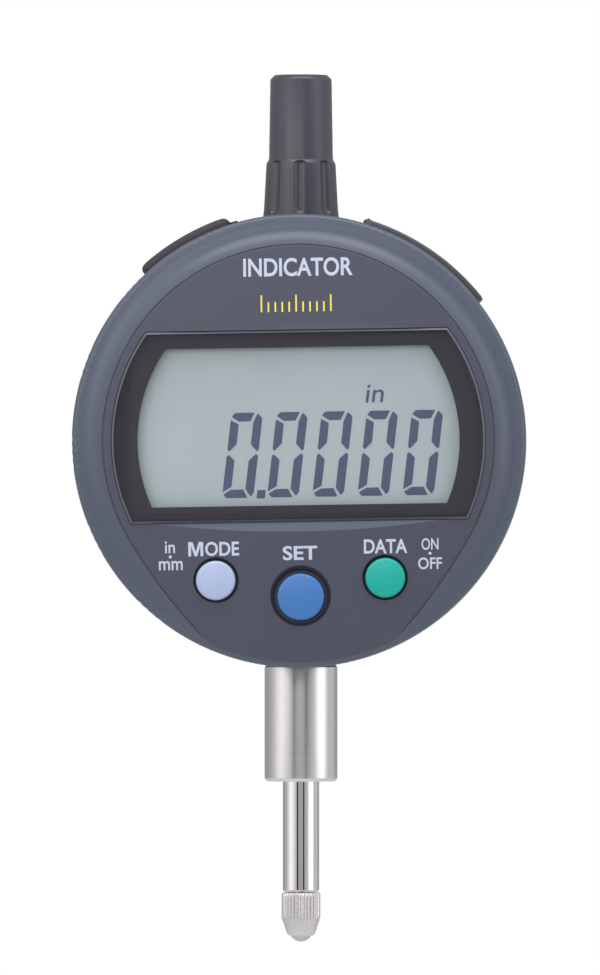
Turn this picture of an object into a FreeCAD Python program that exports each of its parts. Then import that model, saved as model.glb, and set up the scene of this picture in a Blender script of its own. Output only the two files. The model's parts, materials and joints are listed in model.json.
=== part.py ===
import FreeCAD, Part
import math
import os

# Digital electronic indicator, 12.7 mm travel, 3/8 in stem. Millimetres.
# +Z runs up the spindle axis, the display faces -Y, and the origin is the centre of the stem's lower end face.
# The display unit turns about an axis along Y, at height DISPLAY_Z.

# Driving dimensions
STEM_R = 4.7625
STEM_LENGTH = 15.0
SPINDLE_R = 2.38
TRAVEL = 12.7
DISPLAY_Z = 44.4
BEZEL_R = 29.5
CASE_R = 29.0
DISPLAY_TURN = 0.9

# Fits
RUNNING = 0.04
FIT = 0.03
GAP = 0.05

# Depths along Y, front to back
DOME_Y = -16.4
DOME_SPHERE_R = 324.0
RIM_Y = -13.2
WINDOW_Y = -15.62
WINDOW_BACK_Y = -14.5
LEDGE_Y = -14.4
FACE_INNER_Y = -13.5
BOARD_Y = -9.8
BOARD_BACK_Y = -8.7
COVER_Y = -6.8
BEZEL_BACK_Y = -5.6
CASE_FRONT_Y = -5.2
CASE_WALL = 1.6
CASE_INNER_Y = CASE_FRONT_Y + CASE_WALL
CASE_BACK_Y = 8.0
PLATE_BACK_Y = 9.5

# Face of the display, measured from the display axis
PLATEAU_R = 25.45
COVE_OUTER_R = 28.7
FLANK_ROUND = 0.8
CHIN_ANGLE = 30.0
CHIN_ARC_R = 70.0
POCKET_R = 24.35
POCKET_LOW = -10.6
POCKET_HIGH = 14.4
CRESCENT_SLOPE = 30.0
OPENING_R = 20.9
OPENING_LOW = -8.4
OPENING_HIGH = 12.1
CAVITY_R = 27.2
FACE_CAVITY_R = 25.8
LCD_HALF_WIDTH = 21.4
LCD_LOW = -9.0
LCD_HIGH = 12.7
LCD_Y = -13.4
LCD_BACK_Y = -11.6

# Buttons: x, z, top radius, well radius
BUTTONS = {
    "mode_button": (-11.0, -18.0, 2.55, 2.96),
    "set_button": (0.0, -20.3, 3.05, 3.98),
    "data_button": (11.0, -18.0, 2.58, 2.96),
}
BUTTON_TOP_Y = -16.25
BUTTON_TRAVEL = 0.5
WELL_DEPTH = 1.3
CROWN_SPHERE_R = 16.0
STOP_BRIDGE = 7.6

# Spindle line, heights along Z
SPINDLE_LOW = -14.4
SPINDLE_TOP = 77.3
STEM_PAD_R = 4.6
NUT_Z = 24.5
NUT_ACROSS = 9.4
STOP_Z = 28.2
BRACKET_TOP = 55.4
BALL_R = 1.5
TIP_Z = -20.95
CAP_LOW = 73.65
CAP_TOP = 92.3
NIPPLE_R = 3.4
NIPPLE_LOW = 72.05

# Spring and guide
SPRING_X = -5.0
SPRING_COIL_R = 0.85
SPRING_WIRE_R = 0.2
SPRING_LOW = 30.5
SPRING_HIGH = 41.2
GUIDE_PIN_R = 1.0
GUIDE_PIN_Z = 31.3

# Fasteners: points from the display axis
COVER_SCREW_R = 24.9
COVER_SCREW_ANGLES = (-30.0, 60.0, 120.0, 210.0)
PLATE_SCREW_R = 25.0
PLATE_SCREW_ANGLES = (20.0, 160.0, 225.0, 315.0)
BOARD_POSTS = ((-15.5, -11.4), (15.5, -11.4), (-16.5, 5.6), (16.5, 5.6))

# Side covers, angles from +X towards +Z
CONNECTOR_ANGLE = 120.5
CONNECTOR_SPAN = 25.0
BATTERY_ANGLE = 56.0
BATTERY_SPAN = 36.0
BATTERY_U = 20.5
BATTERY_R = 5.8

V = FreeCAD.Vector
AXIS_POINT = V(0, 0, DISPLAY_Z)
TOWARDS_FRONT = V(0, -1, 0)


def rod(radius, low, high, x=0.0, y=0.0):
    """Cylinder along Z."""
    return Part.makeCylinder(radius, high - low, V(x, y, low), V(0, 0, 1))


def tube(outer, inner, low, high):
    """Hollow cylinder on the spindle axis."""
    return rod(outer, low, high).cut(rod(inner, low - 1, high + 1))


def disc(radius, front, back, x=0.0, z=0.0):
    """Cylinder along Y; x and z are measured from the display axis."""
    return Part.makeCylinder(radius, back - front, V(x, front, DISPLAY_Z + z), V(0, 1, 0))


def ring(outer, inner, front, back):
    """Hollow cylinder on the display axis."""
    return disc(outer, front, back).cut(disc(inner, front - 1, back + 1))


def block(x0, x1, y0, y1, z0, z1):
    """Box between two corners."""
    return Part.makeBox(x1 - x0, y1 - y0, z1 - z0, V(x0, y0, z0))


def spin(shape, angle):
    """Turns a shape about the display axis, counter-clockwise as the face is looked at."""
    copy = shape.copy()
    copy.rotate(AXIS_POINT, TOWARDS_FRONT, angle)
    return copy


def side_block(angle, u0, u1, t, y0, y1, t_centre=0.0):
    """Box on the case's rim: u outward along the angle, t to either side of it, y in depth."""
    z = DISPLAY_Z + t_centre
    return spin(block(u0, u1, y0, y1, z - t, z + t), angle)


def side_rod(angle, radius, u0, u1, y, t):
    """Cylinder that points outward along the angle, t to one side of it."""
    return spin(Part.makeCylinder(radius, u1 - u0, V(u0, y, DISPLAY_Z + t), V(1, 0, 0)), angle)


def around(angle, radius):
    """x and z of a point at that angle and radius from the display axis."""
    return radius * math.cos(math.radians(angle)), radius * math.sin(math.radians(angle))


def face_of(steps, place):
    """Flat face. A step is a corner, or a pair (through, end) for an arc."""
    edges = []
    here = steps[0]
    for step in steps[1:] + steps[:1]:
        if isinstance(step[0], tuple):
            through, end = step
            edges.append(Part.Arc(place(here), place(through), place(end)).toShape())
            here = end
        else:
            edges.append(Part.LineSegment(place(here), place(step)).toShape())
            here = step
    return Part.Face(Part.Wire(edges))


def turned_on_display(steps):
    """Solid of revolution about the display axis, from (radius, y) steps."""
    profile = face_of(steps, lambda p: V(p[0], p[1], DISPLAY_Z))
    return profile.revolve(AXIS_POINT, V(0, 1, 0), 360)


def turned_on_spindle(steps):
    """Solid of revolution about the spindle axis, from (radius, z) steps."""
    profile = face_of(steps, lambda p: V(p[0], 0, p[1]))
    return profile.revolve(V(0, 0, 0), V(0, 0, 1), 360)


def clipped(radius, low, high, front, back):
    """Disc about the display axis with its top and bottom cut flat."""
    keep = block(-40, 40, front, back, DISPLAY_Z + low, DISPLAY_Z + high)
    return disc(radius, front, back).common(keep)


def fuse(shapes):
    """One solid from several that touch."""
    whole = shapes[0]
    for shape in shapes[1:]:
        whole = whole.fuse(shape)
    return whole.removeSplitter()


def group(shapes):
    """Separate solids that share one node."""
    return Part.makeCompound(shapes)


def sagitta(radius, sphere_r):
    """How far a sphere falls away from its top, at a radius from its axis."""
    return sphere_r - math.sqrt(sphere_r * sphere_r - radius * radius)


def dome_y(radius):
    """Depth of the face's shallow dome at a radius from the display axis."""
    return DOME_Y + sagitta(radius, DOME_SPHERE_R)


def screw(x, z, head_r, head_y, head_depth, shank_r, tip_y):
    """Screw along Y with its head at the back: head from head_y forward, shank on to tip_y."""
    seat = head_y - head_depth
    head = disc(head_r, seat, head_y, x, z)
    slot = block(x - head_r, x + head_r, head_y - 0.3, head_y + 1, 0, 0.3)
    slot.translate(V(0, 0, DISPLAY_Z + z - 0.15))
    return fuse([head.cut(slot), disc(shank_r, tip_y, seat, x, z)])


# ---- display unit -----------------------------------------------------------------


def chin_prism():
    """Column over the part of the face that runs out to the rim, below the window."""
    start = around(180 + CHIN_ANGLE, PLATEAU_R)
    centre = around(CHIN_ANGLE, CHIN_ARC_R - PLATEAU_R)

    def arc_point(angle):
        x, z = around(180 + angle, CHIN_ARC_R)
        return centre[0] + x, centre[1] + z

    middle = arc_point(CHIN_ANGLE + 8)
    end = arc_point(CHIN_ANGLE + 16)
    steps = [
        start,
        (middle, end),
        (-end[0], end[1]),
        ((-middle[0], middle[1]), (-start[0], start[1])),
    ]
    face = face_of(steps, lambda p: V(p[0], DOME_Y - 1, DISPLAY_Z + p[1]))
    return face.extrude(V(0, 12, 0))


def bezel():
    """Turning front housing: domed face, coved ring, window pocket, button wells."""
    half = PLATEAU_R / 2
    inner = [
        (0.0, FACE_INNER_Y),
        (FACE_CAVITY_R, FACE_INNER_Y),
        (FACE_CAVITY_R, BOARD_Y),
        (CAVITY_R, BOARD_Y),
        (CAVITY_R, BEZEL_BACK_Y),
    ]
    edge_r = BEZEL_R - 0.6
    outer = [
        (BEZEL_R - 0.2, BEZEL_BACK_Y),
        (BEZEL_R, BEZEL_BACK_Y - 0.2),
        (BEZEL_R, dome_y(edge_r) + 0.6),
        ((BEZEL_R - 0.18, dome_y(edge_r) + 0.18), (edge_r, dome_y(edge_r))),
        ((half, dome_y(half)), (0.0, DOME_Y)),
    ]
    body = turned_on_display(inner + outer)
    bend = FLANK_ROUND * (1 - math.sqrt(0.5))
    cove = turned_on_display([
        (PLATEAU_R, DOME_Y - 1),
        (PLATEAU_R, dome_y(PLATEAU_R) + 0.35),
        ((26.5, -14.2), (COVE_OUTER_R, RIM_Y)),
        ((BEZEL_R - bend, RIM_Y + bend), (BEZEL_R, RIM_Y + FLANK_ROUND)),
        (BEZEL_R + 1, RIM_Y + FLANK_ROUND),
        (BEZEL_R + 1, DOME_Y - 1),
    ])
    body = body.cut(cove.cut(chin_prism()))
    rise = DOME_Y - 0.2 - (WINDOW_Y + 0.12)
    spread = abs(rise) / math.tan(math.radians(CRESCENT_SLOPE))
    crescent = face_of(
        [
            (POCKET_LOW, WINDOW_Y + 0.12),
            (POCKET_HIGH, WINDOW_Y + 0.12),
            (POCKET_HIGH + spread, DOME_Y - 0.2),
            (POCKET_LOW - spread, DOME_Y - 0.2),
        ],
        lambda p: V(-30, p[1], DISPLAY_Z + p[0]),
    )
    body = body.cut(crescent.extrude(V(60, 0, 0)))
    body = body.cut(clipped(POCKET_R, POCKET_LOW, POCKET_HIGH, DOME_Y - 1, LEDGE_Y))
    body = body.cut(clipped(23.2, -9.5, 13.2, DOME_Y, FACE_INNER_Y + 1))
    for x, z, top_r, well_r in BUTTONS.values():
        floor = dome_y(math.hypot(x, z)) + WELL_DEPTH
        body = body.cut(disc(well_r, DOME_Y - 1, floor, x, z))
        body = body.cut(disc(top_r + 0.07, DOME_Y - 1, FACE_INNER_Y + 1, x, z))
    posts = []
    for angle in COVER_SCREW_ANGLES:
        x, z = around(angle, COVER_SCREW_R)
        post = disc(1.9, FACE_INNER_Y - 0.2, COVER_Y, x, z)
        posts.append(post.cut(disc(0.83, -10.6, COVER_Y + 1, x, z)))
    return fuse([body] + posts)


def window():
    """Clear cover glass, its front edge chamfered."""
    glass = clipped(POCKET_R - 0.12, POCKET_LOW + 0.12, POCKET_HIGH - 0.12, WINDOW_Y, WINDOW_BACK_Y)
    edges = [e for e in glass.Edges if abs(e.CenterOfMass.y - WINDOW_Y) < 1e-4]
    return glass.makeChamfer(0.25, edges)


def window_mask():
    """Black border printed on the back of the glass, as a thin frame."""
    border = clipped(24.1, POCKET_LOW + 0.25, POCKET_HIGH - 0.25, WINDOW_BACK_Y, LEDGE_Y)
    return border.cut(clipped(OPENING_R, OPENING_LOW, OPENING_HIGH, WINDOW_BACK_Y - 1, LEDGE_Y + 1))


def lcd_panel():
    """Liquid crystal cell: front glass, and a shorter back glass that leaves a contact ledge."""
    low = DISPLAY_Z + LCD_LOW
    high = DISPLAY_Z + LCD_HIGH
    middle = (LCD_Y + LCD_BACK_Y) / 2
    front = block(-LCD_HALF_WIDTH, LCD_HALF_WIDTH, LCD_Y, middle, low, high)
    back = block(-LCD_HALF_WIDTH, LCD_HALF_WIDTH, middle, LCD_BACK_Y, low + 1.8, high - 1.8)
    return fuse([front, back])


def lcd_frame():
    """Moulded holder around the liquid crystal cell."""
    body = disc(FACE_CAVITY_R - 0.1, FACE_INNER_Y, BOARD_Y)
    body = body.common(block(-30, 30, -14, -9, DISPLAY_Z - 10.4, DISPLAY_Z + 30))
    half = LCD_HALF_WIDTH + GAP
    low = DISPLAY_Z + LCD_LOW - GAP
    high = DISPLAY_Z + LCD_HIGH + GAP
    body = body.cut(block(-half, half, -15, -8, low, high))
    for angle in COVER_SCREW_ANGLES:
        x, z = around(angle, COVER_SCREW_R)
        body = body.cut(disc(2.0, -15, -8, x, z))
    return body


def zebra_strips():
    """Two elastomer strips that join the cell's contact ledges to the board."""
    middle = (LCD_Y + LCD_BACK_Y) / 2
    strips = []
    for low in (LCD_LOW + 0.2, LCD_HIGH - 1.6):
        z = DISPLAY_Z + low
        strips.append(block(-19, 19, middle + 0.02, BOARD_Y - 0.02, z, z + 1.4))
    return group(strips)


def main_board():
    """Round display board with notches for the cover screw posts."""
    board = disc(CAVITY_R - 0.3, BOARD_Y, BOARD_BACK_Y)
    for angle in COVER_SCREW_ANGLES:
        x, z = around(angle, COVER_SCREW_R)
        board = board.cut(disc(2.05, BOARD_Y - 1, BOARD_BACK_Y + 1, x, z))
    return board


def board_chips():
    """Processor, memory and a row of small parts on the back of the display board."""
    sizes = [
        (13.6, 20.0, -3.2, 3.2),
        (-20.4, -15.4, -2.0, 3.0),
        (14.5, 17.5, 6.0, 8.0),
        (14.5, 17.5, 9.0, 11.0),
        (-17.5, -14.5, 8.0, 10.0),
    ]
    chips = []
    for x0, x1, z0, z1 in sizes:
        chips.append(block(x0, x1, BOARD_BACK_Y, -7.9, DISPLAY_Z + z0, DISPLAY_Z + z1))
    return group(chips)


def crystal():
    """Timing crystal, a small metal can lying on the board."""
    return Part.makeCylinder(0.8, 6.0, V(-21.8, -7.88, DISPLAY_Z - 9.0), V(1, 0, 0))


def dome_switches():
    """Three snap domes in their frames on the front of the board, one behind each button."""
    switches = []
    for x, z, top_r, well_r in BUTTONS.values():
        base = disc(2.2, BOARD_Y - 0.25, BOARD_Y, x, z)
        snap = disc(1.4, BOARD_Y - 0.45, BOARD_Y - 0.25, x, z)
        switches.append(fuse([base, snap]))
    return group(switches)


def flex_socket():
    """Connector for the flexible cable, on the back of the display board."""
    body = block(-3.0, 3.0, BOARD_BACK_Y, -7.5, DISPLAY_Z - 1.2, DISPLAY_Z + 1.2)
    return body.cut(block(-2.6, 2.6, -7.9, -7.0, DISPLAY_Z - 0.2, DISPLAY_Z + 0.2))


def display_cover():
    """Back cover of the display unit: runs on the case's neck, with the turning stop's groove."""
    body = disc(CAVITY_R - 0.05, COVER_Y, BEZEL_BACK_Y)
    body = body.cut(disc(10.0 + RUNNING, COVER_Y - 1, BEZEL_BACK_Y + 1))
    bridge = block(-STOP_BRIDGE / 2, STOP_BRIDGE / 2, -8, -4, DISPLAY_Z - 25, DISPLAY_Z - 10)
    groove = ring(21.1, 18.9, BEZEL_BACK_Y - 0.8, BEZEL_BACK_Y + 1).cut(bridge)
    body = body.cut(groove)
    for angle in COVER_SCREW_ANGLES:
        x, z = around(angle, COVER_SCREW_R)
        body = body.cut(disc(1.75, BEZEL_BACK_Y - 0.7, BEZEL_BACK_Y + 1, x, z))
        body = body.cut(disc(0.9, COVER_Y - 1, BEZEL_BACK_Y + 1, x, z))
    return body


def display_screws():
    """Four screws that hold the back cover to the bezel's posts."""
    screws = []
    for angle in COVER_SCREW_ANGLES:
        x, z = around(angle, COVER_SCREW_R)
        screws.append(screw(x, z, 1.7, BEZEL_BACK_Y - 0.05, 0.63, 0.8, -10.4))
    return group(screws)


def button(x, z, top_r):
    """Push button: crowned top, collar behind the face, plunger over its snap dome."""
    back = FACE_INNER_Y + 0.8
    crown = Part.makeSphere(CROWN_SPHERE_R, V(x, BUTTON_TOP_Y + CROWN_SPHERE_R, DISPLAY_Z + z))
    head = disc(top_r, BUTTON_TOP_Y, back, x, z).common(crown)
    rim = [e for e in head.Edges if e.CenterOfMass.y < back - 0.5 and e.Length > top_r]
    head = head.makeFillet(0.28, rim)
    collar = disc(top_r + 0.6, FACE_INNER_Y + 0.02, FACE_INNER_Y + 0.8, x, z)
    plunger = disc(1.2, FACE_INNER_Y + 0.8, BOARD_Y - 0.5 - BUTTON_TRAVEL, x, z)
    return fuse([head, collar, plunger])


# ---- case ------------------------------------------------------------------------


def case_shell():
    """Rear housing: open at the back, with bosses, a neck for the display and two side windows."""
    body = turned_on_display([
        (7.5, -7.9),
        (9.2, -7.9),
        (9.2, -7.0),
        (10.0, -7.0),
        (10.0, CASE_FRONT_Y),
        (CASE_R - 0.4, CASE_FRONT_Y),
        (CASE_R, CASE_FRONT_Y + 0.4),
        (CASE_R, CASE_BACK_Y),
        (CASE_R - CASE_WALL, CASE_BACK_Y),
        (CASE_R - CASE_WALL, CASE_INNER_Y),
        (7.5, CASE_INNER_Y),
    ])
    inside = disc(CASE_R - 0.5, CASE_INNER_Y - 0.2, CASE_BACK_Y)
    stem_boss = block(-6.0, 6.0, CASE_INNER_Y - 0.2, 5.4, 16.0, NUT_Z).common(inside)
    stem_pad = rod(STEM_PAD_R, STEM_LENGTH, 18.0)
    top_boss = block(-5.0, 5.0, CASE_INNER_Y - 0.2, 5.0, 68.5, 73.0).common(inside)
    top_pad = rod(4.9, 71.0, 73.55)
    bosses = [stem_boss, stem_pad, top_boss, top_pad]
    for x, z in BOARD_POSTS:
        bosses.append(disc(1.8, CASE_INNER_Y - 0.2, 4.5, x, z))
    for angle in PLATE_SCREW_ANGLES:
        x, z = around(angle, PLATE_SCREW_R)
        bosses.append(disc(2.8, CASE_INNER_Y - 0.2, CASE_BACK_Y, x, z).common(inside))
    body = fuse([body] + bosses)
    body = body.cut(rod(4.1 + FIT, 10, 25))
    half = NUT_ACROSS / 2
    body = body.cut(block(-half - 0.9, half + 0.9, -half - GAP, 0, NUT_Z, STOP_Z + 0.2))
    body = body.cut(rod(NIPPLE_R + FIT, 68, 74))
    body = body.cut(ring(25.65, 24.55, CASE_FRONT_Y - 1, CASE_FRONT_Y + 0.5))
    body = body.cut(ring(28.55, 27.85, CASE_BACK_Y - 0.6, CASE_BACK_Y + 1))
    for x, z in BOARD_POSTS:
        body = body.cut(disc(0.83, 0.5, 5, x, z))
    for angle in PLATE_SCREW_ANGLES:
        x, z = around(angle, PLATE_SCREW_R)
        body = body.cut(disc(1.03, 2.0, 9, x, z))
    for z in (-11.9, -0.9):
        body = body.cut(disc(0.73, CASE_INNER_Y - 1.1, CASE_INNER_Y + 1, 11.4, z))
    body = body.cut(disc(0.8 + FIT, -6, -4, *around(90, 20.0)))
    body = body.cut(disc(0.5 + FIT, -4.6, -3, SPRING_X, 29.7 - DISPLAY_Z))
    body = body.cut(side_block(CONNECTOR_ANGLE, 25.0, 31.0, 5.2, -2.0, 4.6))
    body = body.cut(side_block(BATTERY_ANGLE, 25.5, 31.0, 6.4, -3.2, 2.9))
    return body.cut(side_rod(BATTERY_ANGLE, 0.75, 25.0, 30.0, 0.6, 7.9))


def back_plate():
    """Back plate with the standard centre lug."""
    plate = disc(CASE_R, CASE_BACK_Y, PLATE_BACK_Y)
    outer = [e for e in plate.Edges if abs(e.CenterOfMass.y - PLATE_BACK_Y) < 1e-4]
    plate = plate.makeChamfer(0.4, outer)
    lug_z = DISPLAY_Z
    ears = block(-3.175, 3.175, PLATE_BACK_Y - 0.2, 16.5, lug_z - 6.35, lug_z + 6.35)
    eye = Part.makeCylinder(6.35, 6.35, V(-3.175, 16.5, lug_z), V(1, 0, 0))
    foot = disc(9.0, PLATE_BACK_Y - 0.2, PLATE_BACK_Y + 0.8)
    body = fuse([plate, foot, ears, eye])
    body = body.cut(Part.makeCylinder(3.2, 10, V(-5, 16.5, lug_z), V(1, 0, 0)))
    for angle in PLATE_SCREW_ANGLES:
        x, z = around(angle, PLATE_SCREW_R)
        body = body.cut(disc(1.95, PLATE_BACK_Y - 0.8, PLATE_BACK_Y + 1, x, z))
        body = body.cut(disc(1.1, CASE_BACK_Y - 1, PLATE_BACK_Y + 1, x, z))
    return body


def back_screws():
    """Four screws that hold the back plate."""
    screws = []
    for angle in PLATE_SCREW_ANGLES:
        x, z = around(angle, PLATE_SCREW_R)
        screws.append(screw(x, z, 1.9, PLATE_BACK_Y - 0.05, 0.73, 1.0, 2.4))
    return group(screws)


def stem():
    """Ground mounting stem: the clamped part below, a thinner shank and thread inside the case."""
    return turned_on_spindle([
        (3.43, 0.0),
        (STEM_R - 0.38, 0.0),
        (STEM_R, 0.5),
        (STEM_R, STEM_LENGTH),
        (4.1, STEM_LENGTH),
        (4.1, 27.0),
        (2.7, 27.0),
        (2.7, 10.6),
        (3.43, 10.6),
    ])


def stem_nut():
    """Hexagon nut that draws the stem's shoulder against the case."""
    corner = NUT_ACROSS / 2 / math.cos(math.radians(30))
    points = []
    for k in range(7):
        angle = math.radians(60 * k)
        points.append(V(corner * math.cos(angle), corner * math.sin(angle), NUT_Z))
    prism = Part.Face(Part.makePolygon(points)).extrude(V(0, 0, 2.2))
    return prism.cut(rod(4.1 + FIT, 20, 30))


def nipple():
    """Threaded tube on the case's top, which the spindle cap screws onto."""
    return turned_on_spindle([
        (2.6, NIPPLE_LOW),
        (NIPPLE_R, NIPPLE_LOW),
        (NIPPLE_R, 73.55),
        (4.0, 73.55),
        (4.0, 74.3),
        (NIPPLE_R, 74.3),
        (NIPPLE_R, 79.1),
        (NIPPLE_R - 0.3, 79.4),
        (2.6, 79.4),
    ])


def guide_rail():
    """Slotted rail that keeps the spindle from turning."""
    body = fuse([
        block(5.4, 9.4, CASE_INNER_Y, 3.2, 28.4, 47.2),
        block(9.0, 13.0, CASE_INNER_Y, -2.4, 30.0, 46.0),
    ])
    half = GUIDE_PIN_R + RUNNING
    body = body.cut(block(5.0, 8.7, -half, half, 29.9, 45.9))
    for z in (-11.9, -0.9):
        body = body.cut(disc(0.8, -5, -2, 11.4, z))
    return body


def guide_rail_screws():
    """Two screws that hold the rail to the case."""
    return group([screw(11.4, z, 1.3, -1.5, 0.9, 0.7, -4.6) for z in (-11.9, -0.9)])


def sensor_board():
    """Circuit board behind the spindle."""
    board = block(-18.0, 18.0, 4.5, 5.5, 30.0, 66.0).common(disc(26.8, 4, 6))
    for x, z in BOARD_POSTS:
        board = board.cut(disc(0.9, 4, 6, x, z))
    return board


def sensor_board_screws():
    """Four screws that hold the sensor board to the case's posts."""
    return group([screw(x, z, 1.5, 6.4, 0.9, 0.8, 1.0) for x, z in BOARD_POSTS])


def sensor_chips():
    """Signal processor and small parts on the back of the sensor board."""
    sizes = [(-5, 5, 40, 50), (8, 12, 38, 40.5), (8, 12, 44, 46.5), (-12, -8, 40, 44), (-4, 4, 56, 59)]
    return group([block(x0, x1, 5.5, 7.0, z0, z1) for x0, x1, z0, z1 in sizes])


def battery_tray():
    """Cup that holds the button cell, open towards the case's rim."""
    cup = disc(6.9, -2.9, 3.6, BATTERY_U, 0)
    cup = cup.cut(disc(BATTERY_R + 0.1, -4, 2.8, BATTERY_U, 0))
    cup = cup.cut(block(BATTERY_U + 2.5, 40, -5, 5, DISPLAY_Z - 10, DISPLAY_Z + 10))
    cup = cup.cut(block(10, 14.8, -3.2, 5, DISPLAY_Z - 1.6, DISPLAY_Z + 1.6))
    return spin(cup, BATTERY_ANGLE)


def battery():
    """Silver oxide button cell, 11.6 by 5.4 mm, with its stepped cap."""
    can = disc(BATTERY_R, -2.1, 2.75, BATTERY_U, 0)
    cap = disc(4.9, -2.65, -2.1, BATTERY_U, 0)
    return spin(fuse([can, cap]), BATTERY_ANGLE)


def battery_contact_minus():
    """Spring strip against the cell's cap."""
    strip = fuse([
        block(12.0, 22.5, -3.1, -2.75, DISPLAY_Z - 1.5, DISPLAY_Z + 1.5),
        block(12.0, 12.35, -3.1, 4.45, DISPLAY_Z - 1.5, DISPLAY_Z + 1.5),
    ])
    return spin(strip, BATTERY_ANGLE)


def battery_contact_plus():
    """Spring strip against the cell's side."""
    return side_block(BATTERY_ANGLE, 13.9, 14.3, 1.4, -1.0, 4.45)


def data_connector():
    """Socket for the measurement data cable."""
    body = side_block(CONNECTOR_ANGLE, 20.0, 26.6, 4.9, -1.5, 4.45)
    return body.cut(side_block(CONNECTOR_ANGLE, 22.6, 27.0, 4.0, 0.2, 2.8))


def connector_pins():
    """Five contact pins in the data socket."""
    pins = []
    for k in range(5):
        pins.append(side_block(CONNECTOR_ANGLE, 22.6, 25.8, 0.2, 1.3, 1.7, 1.27 * (k - 2)))
    return group(pins)


def flex_cable():
    """Flat cable from the sensor board, wound once inside the neck so that the display can turn."""
    return fuse([
        ring(6.9, 6.6, -6.9, -4.8),
        block(-6.85, -6.65, -6.0, 4.45, DISPLAY_Z - 1.2, DISPLAY_Z + 1.2),
    ])


# ---- spindle ---------------------------------------------------------------------


def spindle_rod():
    """Ground spindle with a threaded hole for the contact point."""
    body = turned_on_spindle([
        (0.0, SPINDLE_LOW),
        (SPINDLE_R - 0.15, SPINDLE_LOW),
        (SPINDLE_R, SPINDLE_LOW + 0.2),
        (SPINDLE_R, SPINDLE_TOP - 0.3),
        (SPINDLE_R - 0.3, SPINDLE_TOP),
        (0.0, SPINDLE_TOP),
    ])
    return body.cut(rod(1.25, SPINDLE_LOW - 1, SPINDLE_LOW + 6))


def scale_bracket():
    """Clamp block on the spindle with the long plate that carries the scale and the spring's upper post."""
    body = fuse([
        block(-3.6, 3.6, -3.2, 3.2, STOP_Z, 34.0),
        block(-4.2, 4.2, 3.0, 3.6, STOP_Z, BRACKET_TOP),
        block(-5.9, -4.0, 3.0, 3.6, 41.0, 43.0),
        Part.makeCylinder(0.5, 4.4, V(SPRING_X, -1.3, 42.0), V(0, 1, 0)),
    ])
    body = body.cut(rod(SPINDLE_R + FIT, 20, 40))
    body = body.cut(Part.makeCylinder(GUIDE_PIN_R + FIT, 5, V(2.85, 0, GUIDE_PIN_Z), V(1, 0, 0)))
    for z in (29.7, 32.6):
        body = body.cut(disc(0.83, -4, 0, 0, z - DISPLAY_Z))
    return body


def bracket_screws():
    """Two grub screws that lock the clamp block to the spindle."""
    return group([disc(0.8, -3.1, -2.45, 0, z - DISPLAY_Z) for z in (29.7, 32.6)])


def guide_pin():
    """Cross pin that runs in the guide rail."""
    return Part.makeCylinder(GUIDE_PIN_R, 5.4, V(2.95, 0, GUIDE_PIN_Z), V(1, 0, 0))


def return_spring():
    """Extension spring that draws the spindle down, hooked on a post at each end."""
    height = SPRING_HIGH - SPRING_LOW
    helix = Part.makeHelix(0.75, height, SPRING_COIL_R)
    profile = Part.Wire(Part.makeCircle(SPRING_WIRE_R, V(SPRING_COIL_R, 0, 0), V(0, 1, 0)))
    coil = Part.Wire(helix).makePipeShell([profile], True, True)
    coil.translate(V(SPRING_X, 0, SPRING_LOW))
    return coil


def contact_point():
    """Knurled contact point with its threaded shank and ball seat."""
    body = turned_on_spindle([
        (0.0, SPINDLE_LOW + 5.0),
        (1.2, SPINDLE_LOW + 5.0),
        (1.2, -14.5),
        (2.3, -14.5),
        (2.54, -14.75),
        (2.54, -17.75),
        (1.91, -19.65),
        ((1.78, -20.0), (1.5, -20.15)),
        (0.0, -20.15),
    ])
    body = body.cut(Part.makeSphere(BALL_R + FIT, V(0, 0, TIP_Z + BALL_R)))
    tooth = [(2.36, 0.0), (2.7, 0.22), (2.7, -0.22)]
    groove = face_of(tooth, lambda p: V(p[0], p[1], -17.9)).extrude(V(0, 0, 3.2))
    teeth = 30
    for k in range(teeth):
        cutter = groove.copy()
        cutter.rotate(V(0, 0, 0), V(0, 0, 1), 360.0 * k / teeth)
        body = body.cut(cutter)
    return body


# ---- parts that come off -----------------------------------------------------------


def spindle_cap():
    """Hollow cap over the spindle's upper end, with eight finger flutes."""
    body = turned_on_spindle([
        (4.2, CAP_LOW),
        (4.95, CAP_LOW),
        (4.585, 80.7),
        (4.18, 81.3),
        (4.0, CAP_TOP - 0.55),
        (3.45, CAP_TOP),
        (0.0, CAP_TOP),
        (0.0, CAP_TOP - 1.5),
        (3.0, CAP_TOP - 1.5),
        (3.0, 79.9),
        (NIPPLE_R + GAP, 79.9),
        (NIPPLE_R + GAP, 74.6),
        (4.2, 74.6),
    ])
    flute = fuse([
        rod(1.1, 74.9, 83.0, 0.0, -5.5),
        Part.makeSphere(1.1, V(0, -5.5, 74.9)),
    ])
    for k in range(8):
        cutter = flute.copy()
        cutter.rotate(V(0, 0, 0), V(0, 0, 1), 45.0 * k)
        body = body.cut(cutter)
    return body


def rim_cover(angle, span, height, front, back):
    """Curved strip lying on the case's rim."""
    strip = ring(CASE_R + height, CASE_R + GAP, front, back)
    half = math.radians(span / 2)
    reach = 45.0
    wedge = face_of(
        [(0.0, 0.0), (reach, -reach * math.tan(half)), (reach, reach * math.tan(half))],
        lambda p: V(p[0], front - 1, DISPLAY_Z + p[1]),
    )
    strip = strip.common(wedge.extrude(V(0, back - front + 2, 0)))
    return spin(strip, angle)


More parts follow.
